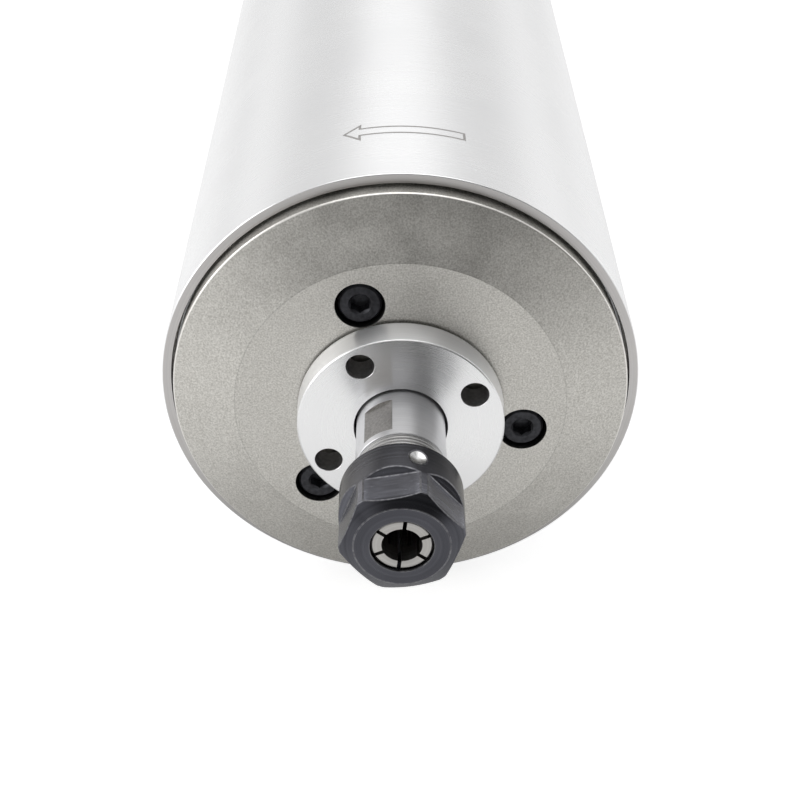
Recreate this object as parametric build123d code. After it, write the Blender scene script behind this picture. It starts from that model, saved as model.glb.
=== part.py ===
from build123d import *

import os
from math import cos, radians, sin, sqrt, tan

# Water-cooled router spindle motor with a collet nose, in millimetres.
#
# Every piece is drawn on the spindle axis, with +Z towards the nose and the origin at the middle
# of the round body. write() then lays the axis along Y: the nose points to -Y and +Z is up.
# Angles are clock angles, counted from the top and clockwise as seen from the nose.
# A station is a place along the axis. The front stations are counted from the body's front rim.

# ---- fits and clearances (radial, or face to face where named so)
SEAT_GAP = 0.02  # between pieces that are pressed, glued or screwed together
TUBE_GAP = 0.05  # between the body tube and what slides into it
BEARING_GAP = 0.03  # between a race and its rolling set
TAPER_GAP = 0.03  # between the collet and the socket, unclamped
THREAD_GAP = 0.05  # between the roots of the nose thread and the crests of the nut's thread
LABYRINTH_GAP = 0.5  # between the lock ring and the front cover, all round and face to face

# ---- body tube
BODY_DIAMETER = 80.0
BODY_LENGTH = 181.5
TUBE_WALL = 1.95
TUBE_EDGE = 0.5  # chamfers of both rims

# ---- front cover, a plate with a shallow cone
COVER_FACE = 5.6  # how far its face stands out of the tube
COVER_SIDE = 2.25  # how far its straight side stands out of the tube
COVER_CONE_WIDTH = 10.6  # from its straight side in to the flat face
COVER_INSIDE = 3.0  # how deep its back lies in the tube
COVER_SCREW_CIRCLE_R = 20.8
COVER_SCREW_ANGLES = (-18.0, 102.0, 222.0)
COVER_SCREW_LENGTH = 12.0

# ---- socket head cap screws of both covers
SCREW_R = 2.0
SCREW_HEAD_R = 3.5
SCREW_HEAD_HEIGHT = 4.0
SCREW_KEY_WIDTH = 3.0
SCREW_KEY_DEPTH = 2.0
SCREW_HEAD_SUNK = 0.5  # how far the head lies below the face
COUNTERBORE_R = 4.0
TAPPED_EXTRA = 1.5  # how much deeper a tapped hole is than its screw

# ---- front bearings, an angular contact pair, and their housing
FRONT_BEARING_BORE_R = 7.5
FRONT_BEARING_OUTER_R = 16.0
FRONT_BEARING_WIDTH = 9.0
FRONT_BEARING_COUNT = 2
FRONT_HOUSING_LENGTH = 25.0
FRONT_SHOULDER = 3.0  # width of the step that stops the outer races

# ---- rear bearing, its housing and the preload spring
REAR_BEARING_BORE_R = 6.0
REAR_BEARING_OUTER_R = 14.0
REAR_BEARING_WIDTH = 8.0
REAR_BEARING_COUNT = 1
REAR_SHOULDER = 3.0
SPRING_THICKNESS = 1.6  # a wave washer, pressed flat by the preload
SPRING_WIDTH = 2.0
REAR_LOCK_NUT_R = 9.0
REAR_LOCK_NUT_WIDTH = 6.0
REAR_LOCK_NUT_FLATS = 16.0
REAR_CHAMBER_WALL = 8.7  # of the room behind the rear bearing for the socket and the leads
REAR_CHAMBER_LENGTH = 20.0

# ---- share of a bearing's radial depth and width
RACE_SHARE = 0.27  # each race's part of the depth between bore and outside
ROLLING_WIDTH_SHARE = 0.7

# ---- rear cover and what it carries
REAR_COVER_THICKNESS = 9.5
REAR_COVER_STANDS_OUT = 2.0
REAR_COVER_EDGE = 0.8
REAR_SCREW_INSET = 5.0  # from the cover's side to a screw's axis
REAR_SCREW_ANGLES = (60.0, 180.0, 300.0)
REAR_SCREW_LENGTH = 12.0

# ---- shaft
NECK_END = 21.75  # station where the neck ends and the nose thread begins
FLAT_WIDTH = 14.0  # across the two spanner flats
FLAT_ANGLE = -31.0
FLAT_START = 13.2  # station
FLAT_END = 21.4  # station
THREAD_R = 7.0  # nose thread M14 x 0.75
THREAD_PITCH = 0.75
THREAD_ENGAGEMENT = 7.9  # length of the nose inside the nut
SHAFT_BODY_R = 10.0
SHAFT_TAIL = 3.0  # past the rear lock nut
SHAFT_DRAW_BORE_R = 3.4  # room for a long tool shank behind the collet
SHAFT_DRAW_BORE_DEPTH = 24.0

# ---- lock ring, screwed on the neck against the front inner races
RING_R = 17.0
RING_THICKNESS = 4.67
RING_EDGE = 0.4
RING_HUB_R = 9.5
SPANNER_CIRCLE_R = 13.5
SPANNER_HOLE_R = 2.28
SPANNER_HOLE_COUNT = 4
SPANNER_HOLE_ANGLE = -28.5

# ---- collet nut
NUT_FACE = 40.7  # station of the spindle's foremost face
NUT_LENGTH = 13.0
NUT_R = 9.5
NUT_ACROSS_FLATS = 17.0
NUT_FLAT_ANGLE = -10.0
NUT_FLAT_LENGTH = 6.2  # from the foremost face to the foot of the ramp behind a flat
NUT_EDGE = 0.3  # rear chamfer
NUT_NOSE_R = 7.17  # where the front cone meets the face
NUT_NOSE_DEPTH = 1.37
NUT_MOUTH_R = 4.72
NUT_MOUTH_DEPTH = 0.5
NUT_LIP_WIDTH = 1.05  # inner lip that draws the collet out
NUT_LIP_R = 5.15
NUT_RELIEF_R = 7.3
DIMPLE_R = 1.55  # balancing dimple on the collar
DIMPLE_DEPTH = 0.7
DIMPLE_ANGLE = 15.1
DIMPLE_FROM_BACK = 3.4

# ---- collet
TOOL_SHANK_R = 3.0
COLLET_LENGTH = 18.0
COLLET_SUNK = 0.4  # its face lies this far inside the nut's face
COLLET_FACE_R = 4.5
COLLET_CONE_LENGTH = 1.9
COLLET_CONE_ANGLE = 30.0
COLLET_GROOVE_R = 4.7
COLLET_GROOVE_WIDTH = 1.5
COLLET_LARGE_R = 5.75
COLLET_TAPER_ANGLE = 8.0
COLLET_SLOT_WIDTH = 0.6
COLLET_SLOT_COUNT = 6
COLLET_SLOT_ANGLE = 6.5
COLLET_SLOT_END = 3.2  # material left at the end of every slot

# ---- motor
STATOR_LENGTH = 68.0
STATOR_BORE_SHARE = 0.516  # of the core's radius
SLOT_COUNT = 12
SLOT_WIDTH = 4.0
YOKE_DEPTH = 6.0  # of the core behind the slots
END_TURN_LENGTH = 13.0
END_TURN_CLEARANCE = 1.5  # outside the stator's bore
END_TURN_INSET = 2.5  # from the core's outside
END_TURN_EDGE = 3.0
COIL_GAP = 0.05  # insulation between a coil side and its slot
AIR_GAP = 0.4
END_RING_LENGTH = 5.0
END_RING_STEP = 0.4

# ---- water jacket, a sleeve with a zigzag channel round the stator
CHANNEL_DEPTH = 4.8
JACKET_WALL = 2.2  # under the channel
CHANNEL_CELLS = 10
RIB_WIDTH = 3.2
LAND_LENGTH = 8.0
CROSSOVER_LENGTH = 9.0  # gap at one end of each rib
SEAL_SECTION = 2.2
SEAL_DEPTH = 1.6
WATER_PORT_R = 2.0
WATER_PORT_INSET = 4.2  # from the cover's side to a port's axis
WATER_ANGLES = (90.0, 270.0)

# ---- water nozzles
NOZZLE_INSET = 8.0  # from the cover's side to a nozzle's axis
NOZZLE_THREAD_R = 4.0
NOZZLE_THREAD_LENGTH = 7.0
NOZZLE_HEX_WIDTH = 11.0
NOZZLE_HEX_LENGTH = 5.0
NOZZLE_TUBE_R = 3.0
NOZZLE_BARB_R = 4.0
NOZZLE_BARB_LENGTH = 5.5
NOZZLE_BARB_COUNT = 2
NOZZLE_COLLAR_LENGTH = 3.0  # plain tube between the hexagon and the first barb
NOZZLE_BORE_R = 2.0
WASHER_THICKNESS = 1.0
WASHER_R = 5.4

# ---- power socket, a round four-pin panel connector
SOCKET_NUT_CLEARANCE = 1.1  # to the wall of the chamber
SOCKET_THREAD_R = 8.0
SOCKET_CAVITY_R = 6.6
SOCKET_FLANGE_R = 9.5
SOCKET_FLANGE_THICKNESS = 2.0
SOCKET_FRONT_LENGTH = 9.0
SOCKET_BACK_LENGTH = 4.5  # inside the rear cover
SOCKET_NUT_R = 9.2
SOCKET_NUT_THICKNESS = 3.0
INSULATOR_STANDS_IN = 1.5  # past the shell, into the chamber
PIN_R = 0.8
PIN_CIRCLE_R = 3.75
PIN_COUNT = 4
PIN_LENGTH = 6.0  # in front of the insulator
PIN_TAIL = 3.0  # behind the insulator
LEAD_COUNT = 3  # one for each phase, on the pins from the third clockwise; the last is spare
LEAD_R = 0.8
LEAD_HOLE_R = 4.9
LEAD_HOLE_SHIFT = 1.2  # how much further out the leads' hole lies than the socket

# ---- radii that follow
TUBE_BORE_R = BODY_DIAMETER / 2 - TUBE_WALL
PILOT_R = TUBE_BORE_R - TUBE_GAP  # outside of everything that fills the tube
COVER_FACE_R = PILOT_R - COVER_CONE_WIDTH
REAR_CHAMBER_R = PILOT_R - REAR_CHAMBER_WALL
REAR_SCREW_CIRCLE_R = PILOT_R - REAR_SCREW_INSET
WATER_PORT_CIRCLE_R = PILOT_R - WATER_PORT_INSET
NOZZLE_CIRCLE_R = PILOT_R - NOZZLE_INSET
SOCKET_CIRCLE_R = REAR_CHAMBER_R - SOCKET_NUT_CLEARANCE - SOCKET_NUT_R
CHANNEL_FLOOR_R = PILOT_R - CHANNEL_DEPTH
STATOR_R = CHANNEL_FLOOR_R - JACKET_WALL - SEAT_GAP
STATOR_BORE_R = STATOR_BORE_SHARE * STATOR_R
SLOT_BOTTOM_R = STATOR_R - YOKE_DEPTH
END_TURN_OUTER_R = STATOR_R - END_TURN_INSET
END_TURN_INNER_R = STATOR_BORE_R + END_TURN_CLEARANCE
NECK_R = FRONT_BEARING_BORE_R
HUB_BORE_R = RING_HUB_R + LABYRINTH_GAP
THREAD_ROOT_R = THREAD_R - 0.6134 * THREAD_PITCH
ROTOR_R = STATOR_BORE_R - AIR_GAP
REAR_SEAT_R = REAR_BEARING_BORE_R
TAPER = tan(radians(COLLET_TAPER_ANGLE))

# ---- stations that follow, along the axis from the middle of the body
FRONT_RIM = BODY_LENGTH / 2
REAR_RIM = -BODY_LENGTH / 2
COVER_FRONT = FRONT_RIM + COVER_FACE
COVER_BACK = FRONT_RIM - COVER_INSIDE
RING_BACK = COVER_FRONT + LABYRINTH_GAP
RING_FRONT = RING_BACK + RING_THICKNESS
FRONT_SHAFT_SHOULDER = COVER_BACK - FRONT_BEARING_COUNT * FRONT_BEARING_WIDTH
FRONT_HOUSING_BACK = COVER_BACK - FRONT_HOUSING_LENGTH
NUT_FRONT = FRONT_RIM + NUT_FACE
NUT_BACK = NUT_FRONT - NUT_LENGTH
NOSE_END = NUT_BACK + THREAD_ENGAGEMENT
COLLET_FRONT = NUT_FRONT - COLLET_SUNK
COLLET_BACK = COLLET_FRONT - COLLET_LENGTH
COLLET_LARGE = COLLET_FRONT - COLLET_CONE_LENGTH - COLLET_GROOVE_WIDTH - 0.5
REAR_COVER_BACK = REAR_RIM - REAR_COVER_STANDS_OUT
REAR_COVER_FRONT = REAR_COVER_BACK + REAR_COVER_THICKNESS
REAR_CHAMBER_FRONT = REAR_COVER_FRONT + REAR_CHAMBER_LENGTH
REAR_RACE_STOP = REAR_CHAMBER_FRONT + REAR_BEARING_COUNT * REAR_BEARING_WIDTH + SPRING_THICKNESS
REAR_HOUSING_FRONT = REAR_RACE_STOP + REAR_SHOULDER
REAR_SHAFT_SHOULDER = REAR_CHAMBER_FRONT + REAR_BEARING_COUNT * REAR_BEARING_WIDTH
SHAFT_BACK = REAR_CHAMBER_FRONT - REAR_LOCK_NUT_WIDTH - SHAFT_TAIL
MOTOR_MIDDLE = (FRONT_HOUSING_BACK + REAR_HOUSING_FRONT) / 2
STATOR_FRONT = MOTOR_MIDDLE + STATOR_LENGTH / 2
STATOR_BACK = MOTOR_MIDDLE - STATOR_LENGTH / 2


def clock(angle, radius, station=0.0):
    """Place of a point at a clock angle and a radius."""
    a = radians(angle)
    return (radius * sin(a), radius * cos(a), station)


def at_clock(angle, radius=0.0, station=0.0):
    """Location at a clock angle whose +Y points away from the axis."""
    return Pos(*clock(angle, radius, station)) * Rot(0, 0, -angle)


def turned(*profile):
    """Solid of revolution of (radius, station) corners."""
    return revolve(Plane.XZ * make_face(Polyline(*profile, close=True)), Axis.Z)


def ring(inner, outer, low, high):
    """Plain tube between two stations."""
    return turned((inner, low), (outer, low), (outer, high), (inner, high))


def rod(radius, low, high):
    """Plain round bar on the axis between two stations."""
    return Pos(0, 0, (low + high) / 2) * Cylinder(radius, high - low)


def hexagon(width, low, high):
    """Hexagonal bar on the axis, with a flat towards +Y."""
    flat = RegularPolygon(width / 2, 6, major_radius=False, rotation=30)
    return extrude(Pos(0, 0, low) * flat, high - low)


def write(name, shape):
    """Lay the axis along Y, nose to -Y, and write the piece's file."""
    export_step(Rot(90, 0, 0) * shape, f"parts/{name}.step")


# ---- body


def housing_tube():
    outer = BODY_DIAMETER / 2
    return turned(
        (TUBE_BORE_R, REAR_RIM),
        (outer - TUBE_EDGE, REAR_RIM),
        (outer, REAR_RIM + TUBE_EDGE),
        (outer, FRONT_RIM - TUBE_EDGE),
        (outer - TUBE_EDGE, FRONT_RIM),
        (TUBE_BORE_R + TUBE_EDGE, FRONT_RIM),
        (TUBE_BORE_R, FRONT_RIM - TUBE_EDGE),
    )


def water_jacket():
    """Aluminium sleeve: end lands that seal in the tube, and ribs that turn the water at alternate ends."""
    back, front = REAR_HOUSING_FRONT, FRONT_HOUSING_BACK
    low, high = back + LAND_LENGTH, front - LAND_LENGTH
    bore = STATOR_R + SEAT_GAP
    sleeve = ring(bore, PILOT_R, back, front) - ring(CHANNEL_FLOOR_R, PILOT_R + 1, low, high)
    rib_height = PILOT_R - CHANNEL_FLOOR_R + 1
    rib_length = high - low - CROSSOVER_LENGTH
    rib = Box(RIB_WIDTH, rib_height, rib_length, align=(Align.CENTER, Align.MIN, Align.MIN))
    half = CHANNEL_CELLS // 2
    shell = ring(CHANNEL_FLOOR_R - 1, PILOT_R, low - 1, high + 1)
    for number in range(CHANNEL_CELLS):
        # ribs are numbered from the inlet; the count runs the same way on both sides of it
        from_inlet = number if number < half else CHANNEL_CELLS - 1 - number
        start = low if from_inlet % 2 == 0 else low + CROSSOVER_LENGTH
        angle = WATER_ANGLES[0] + (number + 0.5) * 360 / CHANNEL_CELLS
        sleeve += at_clock(angle, CHANNEL_FLOOR_R - 0.5, start) * rib & shell
    for middle in seal_stations():
        groove = (middle - SEAL_SECTION / 2 - 0.1, middle + SEAL_SECTION / 2 + 0.1)
        sleeve -= ring(PILOT_R - SEAL_DEPTH, PILOT_R + 1, *groove)
    for angle in WATER_ANGLES:
        sleeve -= at_clock(angle, WATER_PORT_CIRCLE_R) * rod(WATER_PORT_R, back - 1, low + 1)
    return sleeve


def seal_stations():
    """Middles of the jacket's two end lands, where its seals sit."""
    return (REAR_HOUSING_FRONT + LAND_LENGTH / 2, FRONT_HOUSING_BACK - LAND_LENGTH / 2)


def jacket_seals():
    inner = PILOT_R - SEAL_DEPTH + SEAT_GAP
    outer = TUBE_BORE_R - SEAT_GAP
    half = SEAL_SECTION / 2
    return Compound([ring(inner, outer, z - half, z + half) for z in seal_stations()])


# ---- motor


def stator_core():
    core = ring(STATOR_BORE_R, STATOR_R, STATOR_BACK, STATOR_FRONT)
    depth = SLOT_BOTTOM_R - STATOR_BORE_R + 1
    slot = Box(SLOT_WIDTH, depth, STATOR_LENGTH + 2, align=(Align.CENTER, Align.MIN, Align.CENTER))
    for number in range(SLOT_COUNT):
        core -= at_clock(number * 360 / SLOT_COUNT, STATOR_BORE_R - 1, MOTOR_MIDDLE) * slot
    return core


def end_turns(foot, way):
    """One ring of coil ends, rounded off where it leaves the core."""
    edge = END_TURN_EDGE
    return turned(
        (END_TURN_INNER_R, foot),
        (END_TURN_OUTER_R, foot),
        (END_TURN_OUTER_R, foot + way * (END_TURN_LENGTH - edge)),
        (END_TURN_OUTER_R - edge, foot + way * END_TURN_LENGTH),
        (END_TURN_INNER_R, foot + way * END_TURN_LENGTH),
    )


def stator_windings():
    coils = end_turns(STATOR_FRONT, 1) + end_turns(STATOR_BACK, -1)
    low = END_TURN_INNER_R
    side = Box(
        SLOT_WIDTH - 2 * COIL_GAP,
        SLOT_BOTTOM_R - COIL_GAP - low,
        STATOR_LENGTH + 1,
        align=(Align.CENTER, Align.MIN, Align.CENTER),
    )
    for number in range(SLOT_COUNT):
        coils += at_clock(number * 360 / SLOT_COUNT, low, MOTOR_MIDDLE) * side
    return coils


def rotor_core():
    return ring(SHAFT_BODY_R + SEAT_GAP, ROTOR_R, STATOR_BACK, STATOR_FRONT)


def rotor_end_rings():
    inner, outer = SHAFT_BODY_R + SEAT_GAP, ROTOR_R - END_RING_STEP
    front = ring(inner, outer, STATOR_FRONT, STATOR_FRONT + END_RING_LENGTH)
    back = ring(inner, outer, STATOR_BACK - END_RING_LENGTH, STATOR_BACK)
    return Compound([front, back])


# ---- bearings


def bearing_stations(first, width, count):
    """(low, high) of each bearing of a stack, from its rear end."""
    return [(first + number * width, first + (number + 1) * width) for number in range(count)]


FRONT_STACK = bearing_stations(FRONT_SHAFT_SHOULDER, FRONT_BEARING_WIDTH, FRONT_BEARING_COUNT)
REAR_STACK = bearing_stations(REAR_CHAMBER_FRONT, REAR_BEARING_WIDTH, REAR_BEARING_COUNT)


def race_depth(bore, outer):
    return (outer - bore) * RACE_SHARE


def outer_races(bore, outer, stack):
    inside = outer - race_depth(bore, outer)
    return Compound([ring(inside, outer - SEAT_GAP, low, high) for low, high in stack])


def inner_races(bore, outer, stack):
    outside = bore + race_depth(bore, outer)
    return Compound([ring(bore + SEAT_GAP, outside, low, high) for low, high in stack])


def rolling_sets(bore, outer, stack):
    """The balls of each bearing with their cage, as one ring that rolls between the races."""
    depth = race_depth(bore, outer) + BEARING_GAP
    rings = []
    for low, high in stack:
        half = (high - low) * ROLLING_WIDTH_SHARE / 2
        middle = (low + high) / 2
        rings.append(ring(bore + depth, outer - depth, middle - half, middle + half))
    return Compound(rings)


def front_bearing_housing():
    shoulder = FRONT_SHAFT_SHOULDER
    opening = FRONT_BEARING_OUTER_R - FRONT_SHOULDER
    body = turned(
        (opening, FRONT_HOUSING_BACK),
        (PILOT_R, FRONT_HOUSING_BACK),
        (PILOT_R, COVER_BACK),
        (FRONT_BEARING_OUTER_R, COVER_BACK),
        (FRONT_BEARING_OUTER_R, shoulder),
        (opening, shoulder),
    )
    seat = COVER_FRONT - SCREW_HEAD_SUNK - SCREW_HEAD_HEIGHT
    foot = seat - COVER_SCREW_LENGTH - TAPPED_EXTRA
    for angle in COVER_SCREW_ANGLES:
        hole = rod(SCREW_R + SEAT_GAP, foot, COVER_BACK + 1)
        body -= at_clock(angle, COVER_SCREW_CIRCLE_R) * hole
    return body


def rear_bearing_housing():
    stop = REAR_RACE_STOP
    opening = REAR_BEARING_OUTER_R - REAR_SHOULDER
    body = turned(
        (opening, REAR_HOUSING_FRONT),
        (opening, stop),
        (REAR_BEARING_OUTER_R, stop),
        (REAR_BEARING_OUTER_R, REAR_CHAMBER_FRONT),
        (REAR_CHAMBER_R, REAR_CHAMBER_FRONT),
        (REAR_CHAMBER_R, REAR_COVER_FRONT),
        (PILOT_R, REAR_COVER_FRONT),
        (PILOT_R, REAR_HOUSING_FRONT),
    )
    seat = REAR_COVER_BACK + SCREW_HEAD_SUNK + SCREW_HEAD_HEIGHT
    foot = seat + REAR_SCREW_LENGTH + TAPPED_EXTRA
    for angle in REAR_SCREW_ANGLES:
        hole = rod(SCREW_R + SEAT_GAP, REAR_COVER_FRONT - 1, foot)
        body -= at_clock(angle, REAR_SCREW_CIRCLE_R) * hole
    for angle in WATER_ANGLES:
        port = rod(WATER_PORT_R, REAR_COVER_FRONT - 1, REAR_HOUSING_FRONT + 1)
        body -= at_clock(angle, WATER_PORT_CIRCLE_R) * port
    lead_hole = rod(LEAD_HOLE_R, REAR_CHAMBER_FRONT - 1, REAR_HOUSING_FRONT + 1)
    return body - at_clock(0, SOCKET_CIRCLE_R + LEAD_HOLE_SHIFT) * lead_hole


def preload_spring():
    outer = REAR_BEARING_OUTER_R - SEAT_GAP
    return ring(outer - SPRING_WIDTH, outer, REAR_SHAFT_SHOULDER, REAR_RACE_STOP)


# ---- front cover, rear cover and their screws


def cap_screw(length):
    """Socket head cap screw on the axis: its head's top at station 0, its shank towards -Z."""
    head = rod(SCREW_HEAD_R, -SCREW_HEAD_HEIGHT, 0)
    head -= hexagon(SCREW_KEY_WIDTH, -SCREW_KEY_DEPTH, 1)
    return head + rod(SCREW_R, -SCREW_HEAD_HEIGHT - length, -SCREW_HEAD_HEIGHT)


def screw_well(depth):
    """What a cap screw takes out of a cover whose face is at station 0."""
    seat = -SCREW_HEAD_SUNK - SCREW_HEAD_HEIGHT
    return rod(COUNTERBORE_R, seat, 1) + rod(SCREW_R + LABYRINTH_GAP / 2, -depth, seat)


def front_cover():
    cover = turned(
        (HUB_BORE_R, COVER_BACK),
        (PILOT_R, COVER_BACK),
        (PILOT_R, FRONT_RIM + COVER_SIDE),
        (COVER_FACE_R, COVER_FRONT),
        (HUB_BORE_R, COVER_FRONT),
    )
    well = screw_well(COVER_FACE + COVER_INSIDE + 1)
    for angle in COVER_SCREW_ANGLES:
        cover -= at_clock(angle, COVER_SCREW_CIRCLE_R, COVER_FRONT) * well
    return cover


def front_cover_screws():
    screw = cap_screw(COVER_SCREW_LENGTH)
    top = COVER_FRONT - SCREW_HEAD_SUNK
    return Compound([at_clock(a, COVER_SCREW_CIRCLE_R, top) * screw for a in COVER_SCREW_ANGLES])


def rear_cover():
    edge = REAR_COVER_EDGE
    cover = Pos(0, 0, REAR_COVER_FRONT) * Rot(180, 0, 0) * turned(
        (0, 0),
        (PILOT_R, 0),
        (PILOT_R, REAR_COVER_THICKNESS - edge),
        (PILOT_R - edge, REAR_COVER_THICKNESS),
        (0, REAR_COVER_THICKNESS),
    )
    well = Rot(180, 0, 0) * screw_well(REAR_COVER_THICKNESS + 1)
    for angle in REAR_SCREW_ANGLES:
        cover -= at_clock(angle, REAR_SCREW_CIRCLE_R, REAR_COVER_BACK) * well
    stud_end = REAR_COVER_BACK - WASHER_THICKNESS + NOZZLE_THREAD_LENGTH
    for angle in WATER_ANGLES:
        stud = rod(NOZZLE_THREAD_R + SEAT_GAP, REAR_COVER_BACK - 1, stud_end)
        port = rod(WATER_PORT_R, stud_end - 1, REAR_COVER_FRONT + 1)
        cover -= at_clock(angle, NOZZLE_CIRCLE_R) * stud
        cover -= at_clock(angle, WATER_PORT_CIRCLE_R) * port
    socket = rod(SOCKET_THREAD_R + SEAT_GAP, REAR_COVER_BACK - 1, REAR_COVER_FRONT + 1)
    return cover - at_clock(0, SOCKET_CIRCLE_R) * socket


def rear_cover_screws():
    screw = Rot(180, 0, 0) * cap_screw(REAR_SCREW_LENGTH)
    top = REAR_COVER_BACK + SCREW_HEAD_SUNK
    return Compound([at_clock(a, REAR_SCREW_CIRCLE_R, top) * screw for a in REAR_SCREW_ANGLES])


# ---- shaft and what it carries


def collet_radius(station):
    """Radius of the collet's long taper, or of its continuation, at a station."""
    return COLLET_LARGE_R - (COLLET_LARGE - station) * TAPER


def shaft():
    socket_end = COLLET_BACK - 1.5
    draw_bore_end = NOSE_END - SHAFT_DRAW_BORE_DEPTH
    body = turned(
        (0, SHAFT_BACK),
        (REAR_SEAT_R, SHAFT_BACK),
        (REAR_SEAT_R, REAR_SHAFT_SHOULDER),
        (SHAFT_BODY_R, REAR_SHAFT_SHOULDER),
        (SHAFT_BODY_R, FRONT_SHAFT_SHOULDER),
        (NECK_R, FRONT_SHAFT_SHOULDER),
        (NECK_R, FRONT_RIM + NECK_END),
        (THREAD_ROOT_R, FRONT_RIM + NECK_END),
        (THREAD_ROOT_R, NOSE_END),
        (collet_radius(NOSE_END) + TAPER_GAP, NOSE_END),
        (collet_radius(socket_end) + TAPER_GAP, socket_end),
        (SHAFT_DRAW_BORE_R, socket_end),
        (SHAFT_DRAW_BORE_R, draw_bore_end),
        (0, draw_bore_end),
    )
    length = FLAT_END - FLAT_START
    middle = FRONT_RIM + (FLAT_START + FLAT_END) / 2
    for turn in (0, 180):
        outside = Pos(0, FLAT_WIDTH / 2 + NECK_R, 0) * Box(4 * NECK_R, 2 * NECK_R, length)
        body -= at_clock(FLAT_ANGLE + turn, 0, middle) * outside
    return body


def lock_ring():
    body = turned(
        (NECK_R + SEAT_GAP, COVER_BACK),
        (RING_HUB_R, COVER_BACK),
        (RING_HUB_R, RING_BACK),
        (RING_R, RING_BACK),
        (RING_R, RING_FRONT - RING_EDGE),
        (RING_R - RING_EDGE, RING_FRONT),
        (NECK_R + SEAT_GAP, RING_FRONT),
    )
    for number in range(SPANNER_HOLE_COUNT):
        angle = SPANNER_HOLE_ANGLE + number * 360 / SPANNER_HOLE_COUNT
        hole = rod(SPANNER_HOLE_R, RING_BACK - 0.2, RING_FRONT + 1)
        body -= at_clock(angle, SPANNER_CIRCLE_R) * hole
    return body


def rear_lock_nut():
    low = REAR_CHAMBER_FRONT - REAR_LOCK_NUT_WIDTH
    nut = ring(REAR_SEAT_R + SEAT_GAP, REAR_LOCK_NUT_R, low, REAR_CHAMBER_FRONT)
    span = 4 * REAR_LOCK_NUT_R
    return nut & Pos(0, 0, low) * Box(REAR_LOCK_NUT_FLATS, span, span)


# ---- collet and nut


def collet():
    """Spring collet, slit from both ends in turn so that its bore closes evenly."""
    face = COLLET_FRONT
    cone = face - COLLET_CONE_LENGTH
    cone_r = COLLET_FACE_R + COLLET_CONE_LENGTH * tan(radians(COLLET_CONE_ANGLE))
    groove = cone - COLLET_GROOVE_WIDTH
    body = turned(
        (TOOL_SHANK_R, COLLET_BACK),
        (collet_radius(COLLET_BACK), COLLET_BACK),
        (COLLET_LARGE_R, COLLET_LARGE),
        (COLLET_LARGE_R, groove),
        (COLLET_GROOVE_R, groove),
        (COLLET_GROOVE_R, cone),
        (cone_r, cone),
        (COLLET_FACE_R, face),
        (TOOL_SHANK_R, face),
    )
    length = COLLET_LENGTH - COLLET_SLOT_END
    slit = Box(COLLET_SLOT_WIDTH, 2 * COLLET_LARGE_R, length, align=(Align.CENTER, Align.MIN, Align.MIN))
    step = 360 / COLLET_SLOT_COUNT
    for number in range(COLLET_SLOT_COUNT):
        angle = COLLET_SLOT_ANGLE + number * step
        body -= at_clock(angle, 0, face - length) * slit
        body -= at_clock(angle + step / 2, 0, COLLET_BACK) * slit
    return body


def nut_flat_cutter():
    """Takes one flat off the nut, with the 45 degree ramp behind it; the flat faces +Y."""
    flat = NUT_ACROSS_FLATS / 2
    far = flat + 2 * (NUT_R - flat)
    foot = -NUT_FLAT_LENGTH
    ramp = foot - (far - flat)
    side = Polyline((flat, foot), (far, ramp), (far, 1), (flat, 1), close=True)
    return extrude(Plane.YZ * make_face(side), NUT_R, both=True)


def collet_nut():
    """Drawn with its foremost face at station 0, then put in its place."""
    mouth = -NUT_MOUTH_DEPTH
    lip_front = -COLLET_SUNK - COLLET_CONE_LENGTH - (COLLET_GROOVE_WIDTH - NUT_LIP_WIDTH) / 2
    lip_back = lip_front - NUT_LIP_WIDTH
    nose = THREAD_ENGAGEMENT - NUT_LENGTH
    cone_r = NUT_MOUTH_R + (mouth - lip_front) * tan(radians(COLLET_CONE_ANGLE))
    thread_crest = THREAD_ROOT_R + THREAD_GAP
    nut = turned(
        (thread_crest, -NUT_LENGTH),
        (NUT_R - NUT_EDGE, -NUT_LENGTH),
        (NUT_R, NUT_EDGE - NUT_LENGTH),
        (NUT_R, -NUT_NOSE_DEPTH),
        (NUT_NOSE_R, 0),
        (NUT_MOUTH_R, 0),
        (NUT_MOUTH_R, mouth),
        (cone_r, lip_front),
        (NUT_LIP_R, lip_front),
        (NUT_LIP_R, lip_back),
        (NUT_RELIEF_R, lip_back),
        (NUT_RELIEF_R, nose),
        (thread_crest, nose),
    )
    for number in range(6):
        nut -= at_clock(NUT_FLAT_ANGLE + number * 60) * nut_flat_cutter()
    drill = Rot(-90, 0, 0) * Cone(0, DIMPLE_R, DIMPLE_DEPTH, align=(Align.CENTER, Align.CENTER, Align.MIN))
    nut -= at_clock(DIMPLE_ANGLE, NUT_R - DIMPLE_DEPTH, DIMPLE_FROM_BACK - NUT_LENGTH) * drill
    return Pos(0, 0, NUT_FRONT) * nut


# ---- water nozzles and power socket


def nozzle():
    """Hose nozzle: its hexagon's face at station 0, barbs towards -Z, threaded stud towards +Z."""
    body = hexagon(NOZZLE_HEX_WIDTH, -NOZZLE_HEX_LENGTH, 0)
    first = -NOZZLE_HEX_LENGTH - NOZZLE_COLLAR_LENGTH
    corners = [(NOZZLE_TUBE_R, -NOZZLE_HEX_LENGTH + 1), (NOZZLE_TUBE_R, first)]
    for number in range(NOZZLE_BARB_COUNT):
        start = first - number * NOZZLE_BARB_LENGTH
        corners.append((NOZZLE_BARB_R, start))
        corners.append((NOZZLE_TUBE_R, start - NOZZLE_BARB_LENGTH))
    end = corners[-1][1]
    body += turned(*corners, (0, end), (0, -NOZZLE_HEX_LENGTH + 1))
    body += rod(NOZZLE_THREAD_R, -0.5, NOZZLE_THREAD_LENGTH)
    return body - rod(NOZZLE_BORE_R, end - 1, NOZZLE_THREAD_LENGTH + 1)


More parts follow.
